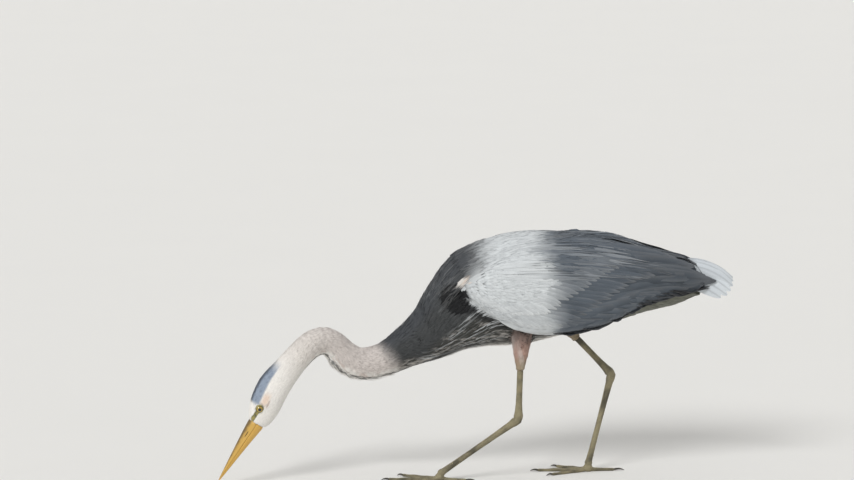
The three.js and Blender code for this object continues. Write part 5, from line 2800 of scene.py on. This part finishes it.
        def flow(places: Array) -> Array:
            """Point to the tail, and a little away from the eye."""
            return bird.lie.body(places) + 0.5 * onto_plane(places - orbit.centre, orbit.axis)

        lift = (np.full(len(roots), -0.3 * MM), rng.uniform(0.1, 0.5, len(roots)) * MM)
        length = rng.uniform(*self.tuft, len(roots)) * MM
        centres, normals = Layer(surface, flow).lay(roots, length, lift, Form.FACE)
        off = np.linalg.norm(np.cross(centres[:, -1] - orbit.centre, orbit.axis), axis=1)
        on = off > self.clear * orbit.radius
        coat = Coat(f"coat_orbit_{orbit.side}", 31)
        tint, place = bird.markings(centres[on], 0.5, "head"), bird.anatomy.spine.unwrap(roots[on])
        width = np.full(int(on.sum()), self.tuft_width)
        coat.add(Batch(centres[on], normals[on], width, tint, place), Form.FACE)
        coat.build(Slot.HEAD, self.feathers)


@dataclass
class Leg:
    """One bare leg: its skin, the scutes down its front and toes, and the claws."""

    bird: Bird
    side: Side
    skin: Material
    scutes: Material
    horn: Material
    voxel: float = 0.95 * MM
    claw_voxel: float = 0.38 * MM
    hock: float = 7.0 * MM  # radius of the ball that fills it
    ankle: float = 7.4 * MM  # likewise
    root: float = 3 * MM  # how much of a claw the toe's end holds
    shin_plates: tuple[float, float] = (3.4 * MM, 6.6 * MM)  # step and width, in front of the tarsus
    toe_plates: tuple[float, float] = (2.8 * MM, 5.4 * MM)  # step and width, over the toes
    toe_height: float = 6 * MM  # of the toes' middles over the ground

    def build(self) -> None:
        """Build the skin, scutes and claws."""
        anatomy = self.bird.anatomy
        nodes = [f"{part}_{self.side}" for part in ("shank", "tarsus", "foot")]
        _, ankle = anatomy.ends(nodes[1])
        knobs = [(anatomy.joint(nodes[0], nodes[1]), self.hock), (ankle, self.ankle)]
        for toe in TOES:
            claw = anatomy.mesh[f"claw_{self.side}_{toe}"]
            gap = np.linalg.norm(claw - ankle, axis=1)
            root = claw[gap < gap.min() + self.root]
            knobs.append((root.mean(axis=0), float(np.ptp(root, axis=0).max()) * 0.56))
        piece = melted_node(nodes, f"leg_skin_{self.side}", self.voxel, 3, knobs)
        places = vertices(piece)
        places[:, 2] = np.maximum(places[:, 2], 0.0)
        move_vertices(piece, places)
        surface = Surface(piece)
        dress(piece, self.skin)
        finish_piece(piece, Slot.LEG, nodes)
        self._scutes(surface)
        for toe in TOES:
            self._claw(toe)

    def _scutes(self, surface: Surface) -> None:
        """Lay overlapping plates down the tarsus's front and along the toes.

        Args:
            surface: The leg's skin.
        """
        ahead, over = np.array([-1.0, 0.0, 0.25]), np.array([0.0, 0.0, 1.0])
        top, foot = self.bird.anatomy.ends(f"tarsus_{self.side}")
        plates = Coat(f"scutes_{self.side}", 20)
        self._column(plates, surface, (top, foot), ahead, self.shin_plates)
        for toe in TOES:
            claw = self.bird.anatomy.mesh[f"claw_{self.side}_{toe}"]
            end = claw[np.linalg.norm(claw - foot, axis=1).argmin()]
            start = foot + (end - foot) * 0.12
            start[2] = end[2] = self.toe_height
            self._column(plates, surface, (start, end), over, self.toe_plates)
        plates.build(Slot.LEG, self.scutes)

    @staticmethod
    def _column(
        plates: Coat, surface: Surface, ends: tuple[Array, Array], out: Array, size: tuple[float, float]
    ) -> None:
        """Lay one column of plates.

        Args:
            plates: The piece they join.
            surface: The leg's skin.
            ends: The column's upper and lower end, inside the leg.
            out: The side it faces.
            size: Distance between plates, and their width.
        """
        (start, end), (step, width) = ends, size
        lie = unit(end - start)
        facing = onto_plane(out, lie)
        middles = [start + lie * (i * step) for i in range(1, int(np.linalg.norm(end - start) / step))]
        hits = [surface.cast(middle + facing * 30 * MM, -facing) for middle in middles]
        points = np.array([hit for hit in hits if hit is not None])
        if not len(points):
            return
        number = len(points)
        layer = Layer(surface, lambda places: np.tile(lie, (len(places), 1)))
        lift = (np.full(number, -1.0 * MM), np.full(number, -0.2 * MM))
        centres, normals = layer.lay(points, np.full(number, step * 1.25), lift, Form.SCUTE)
        along, none = np.linspace(0, 1, number), np.zeros(number)
        place = np.stack([none, along], axis=1)
        tint = np.full((number, 3), 0.3)
        plates.add(Batch(centres, normals, width * (1 - 0.25 * along), tint, place, none), Form.SCUTE)

    def _claw(self, toe: str) -> None:
        """Build one claw.

        Args:
            toe: Whose claw.
        """
        node = f"claw_{self.side}_{toe}"
        piece = melted_node([node], f"talon_{self.side}_{toe}", self.claw_voxel, 2)
        dress(piece, self.horn)
        finish_piece(piece, Slot.CLAW, (node,))


# ---- Studio ----


@dataclass(frozen=True)
class Lamp:
    """A sun lamp, its turn and its breadth in degrees."""

    name: str
    turn: tuple[float, float, float]
    strength: float
    breadth: float


@dataclass
class Studio:
    """Pale floor and backdrop, soft light, and the camera."""

    bird: Bird
    pale: Colour = linear(232, 231, 228)
    radius: float = 24.0  # of the floor
    # The backdrop's steps: how much wider each is, and how far it rises.
    wall: tuple[tuple[float, float], ...] = ((1.06, 0.25), (1.05, 0.9), (1.03, 2.2), (1.0, 9.0))
    sky: float = 0.52
    lamps: tuple[Lamp, ...] = (
        Lamp("key", (50.0, 0.0, -28.0), 1.75, 22.0),
        Lamp("fill", (58.0, 0.0, 120.0), 0.5, 60.0),
    )
    distance: float = 9.0
    elevation: float = 9.0  # of the camera, in degrees
    lens: float = 197.6
    aim_ahead: float = 0.5346  # how far ahead of the wing tips the camera aims
    aim_height: float = 0.462

    def build(self) -> None:
        """Build the floor and backdrop, the lamps, and the camera."""
        self._ground()
        self._light()
        self._camera()

    def _plain(self) -> Material:
        """Give a plain pale matte material.

        Returns:
            The material.
        """
        g = Graph("studio", Specular_IOR_Level=0.1)
        fleck = g.grain(g.coordinates(), 3.0, 2)
        colour = g.mix(fleck, self.pale, tuple(v * 0.985 for v in self.pale))
        return g.wear(Base_Color=colour, Roughness=0.9 + fleck * 0.05)

    def _ground(self) -> None:
        """Lay a wide floor that curves up into a backdrop all round."""
        deselect()
        bpy.ops.mesh.primitive_circle_add(vertices=96, radius=self.radius, fill_type="NGON")
        floor = named("studio_floor")
        with editing(floor):
            for spread, rise in self.wall:
                bpy.ops.mesh.extrude_region_move(TRANSFORM_OT_translate={"value": (0.0, 0.0, rise)})
                bpy.ops.transform.resize(value=(spread, spread, 1.0))
            bpy.ops.mesh.delete(type="ONLY_FACE")
        dress(floor, self._plain())
        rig.stage(floor)

    def _light(self) -> None:
        """Hang a broad soft key from the front left, a fill, and an even pale sky."""
        world = bpy.data.worlds.new("sky")
        bpy.context.scene.world = world
        world.use_nodes = True
        background = world.node_tree.nodes["Background"]
        background.inputs["Color"].default_value = (1.0, 1.0, 1.0, 1.0)
        background.inputs["Strength"].default_value = self.sky
        for lamp in self.lamps:
            data = bpy.data.lights.new(lamp.name, "SUN")
            data.energy, data.angle = lamp.strength, math.radians(lamp.breadth)
            sun = bpy.data.objects.new(lamp.name, data)
            sun.rotation_euler = [math.radians(turn) for turn in lamp.turn]
            bpy.context.scene.collection.objects.link(sun)

    def _camera(self) -> None:
        """Set the camera to the side of the bird, a little above it."""
        data = bpy.data.cameras.new("camera")
        data.lens = self.lens
        data.sensor_width = 36.0
        data.clip_end = 200.0
        camera = bpy.data.objects.new("camera", data)
        anatomy = self.bird.anatomy
        aim = Vector((anatomy.tip_x - self.aim_ahead, anatomy.middle, self.aim_height))
        tilt = math.radians(self.elevation)
        camera.location = aim + Vector((0.0, -math.cos(tilt), math.sin(tilt))) * self.distance
        camera.rotation_euler = (math.pi / 2 - tilt, 0.0, 0.0)
        bpy.context.scene.collection.objects.link(camera)
        bpy.context.scene.camera = camera
        bpy.context.scene.view_settings.view_transform = "Standard"


# ---- The whole figure ----


def main() -> None:
    """Build the bird round the frame."""
    logging.basicConfig(level=logging.INFO, format="%(message)s")
    FRAME.update(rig.load())
    cad_box = [list(corner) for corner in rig.bounds()]
    bird = Bird()
    LOG.info("measured")
    feathers = FeatherFinish("feathers").material()
    long_feathers = FeatherFinish("long_feathers", barbs=120.0, contrast=0.14).material()
    Skin(bird).build()
    BodyCoat(bird, feathers).build()
    ThighCoat(bird, feathers).build()
    for side in Side:
        Wing(bird, side, long_feathers).build()
    Tail(bird, long_feathers).build()
    Plumes(bird, long_feathers).build()
    Bill(bird).build()
    Eyes(bird, feathers).build()
    leg_skin, scutes, horn = LegFinish().material(), ScuteFinish().material(), ClawFinish().material()
    for side in Side:
        Leg(bird, side, leg_skin, scutes, horn).build()
    Studio(bird).build()
    shown_box = [list(corner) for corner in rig.bounds()]
    SIZE_FILE.write_text(json.dumps({"cad": cad_box, "visual": shown_box}))


if __name__ == "__main__":
    main()
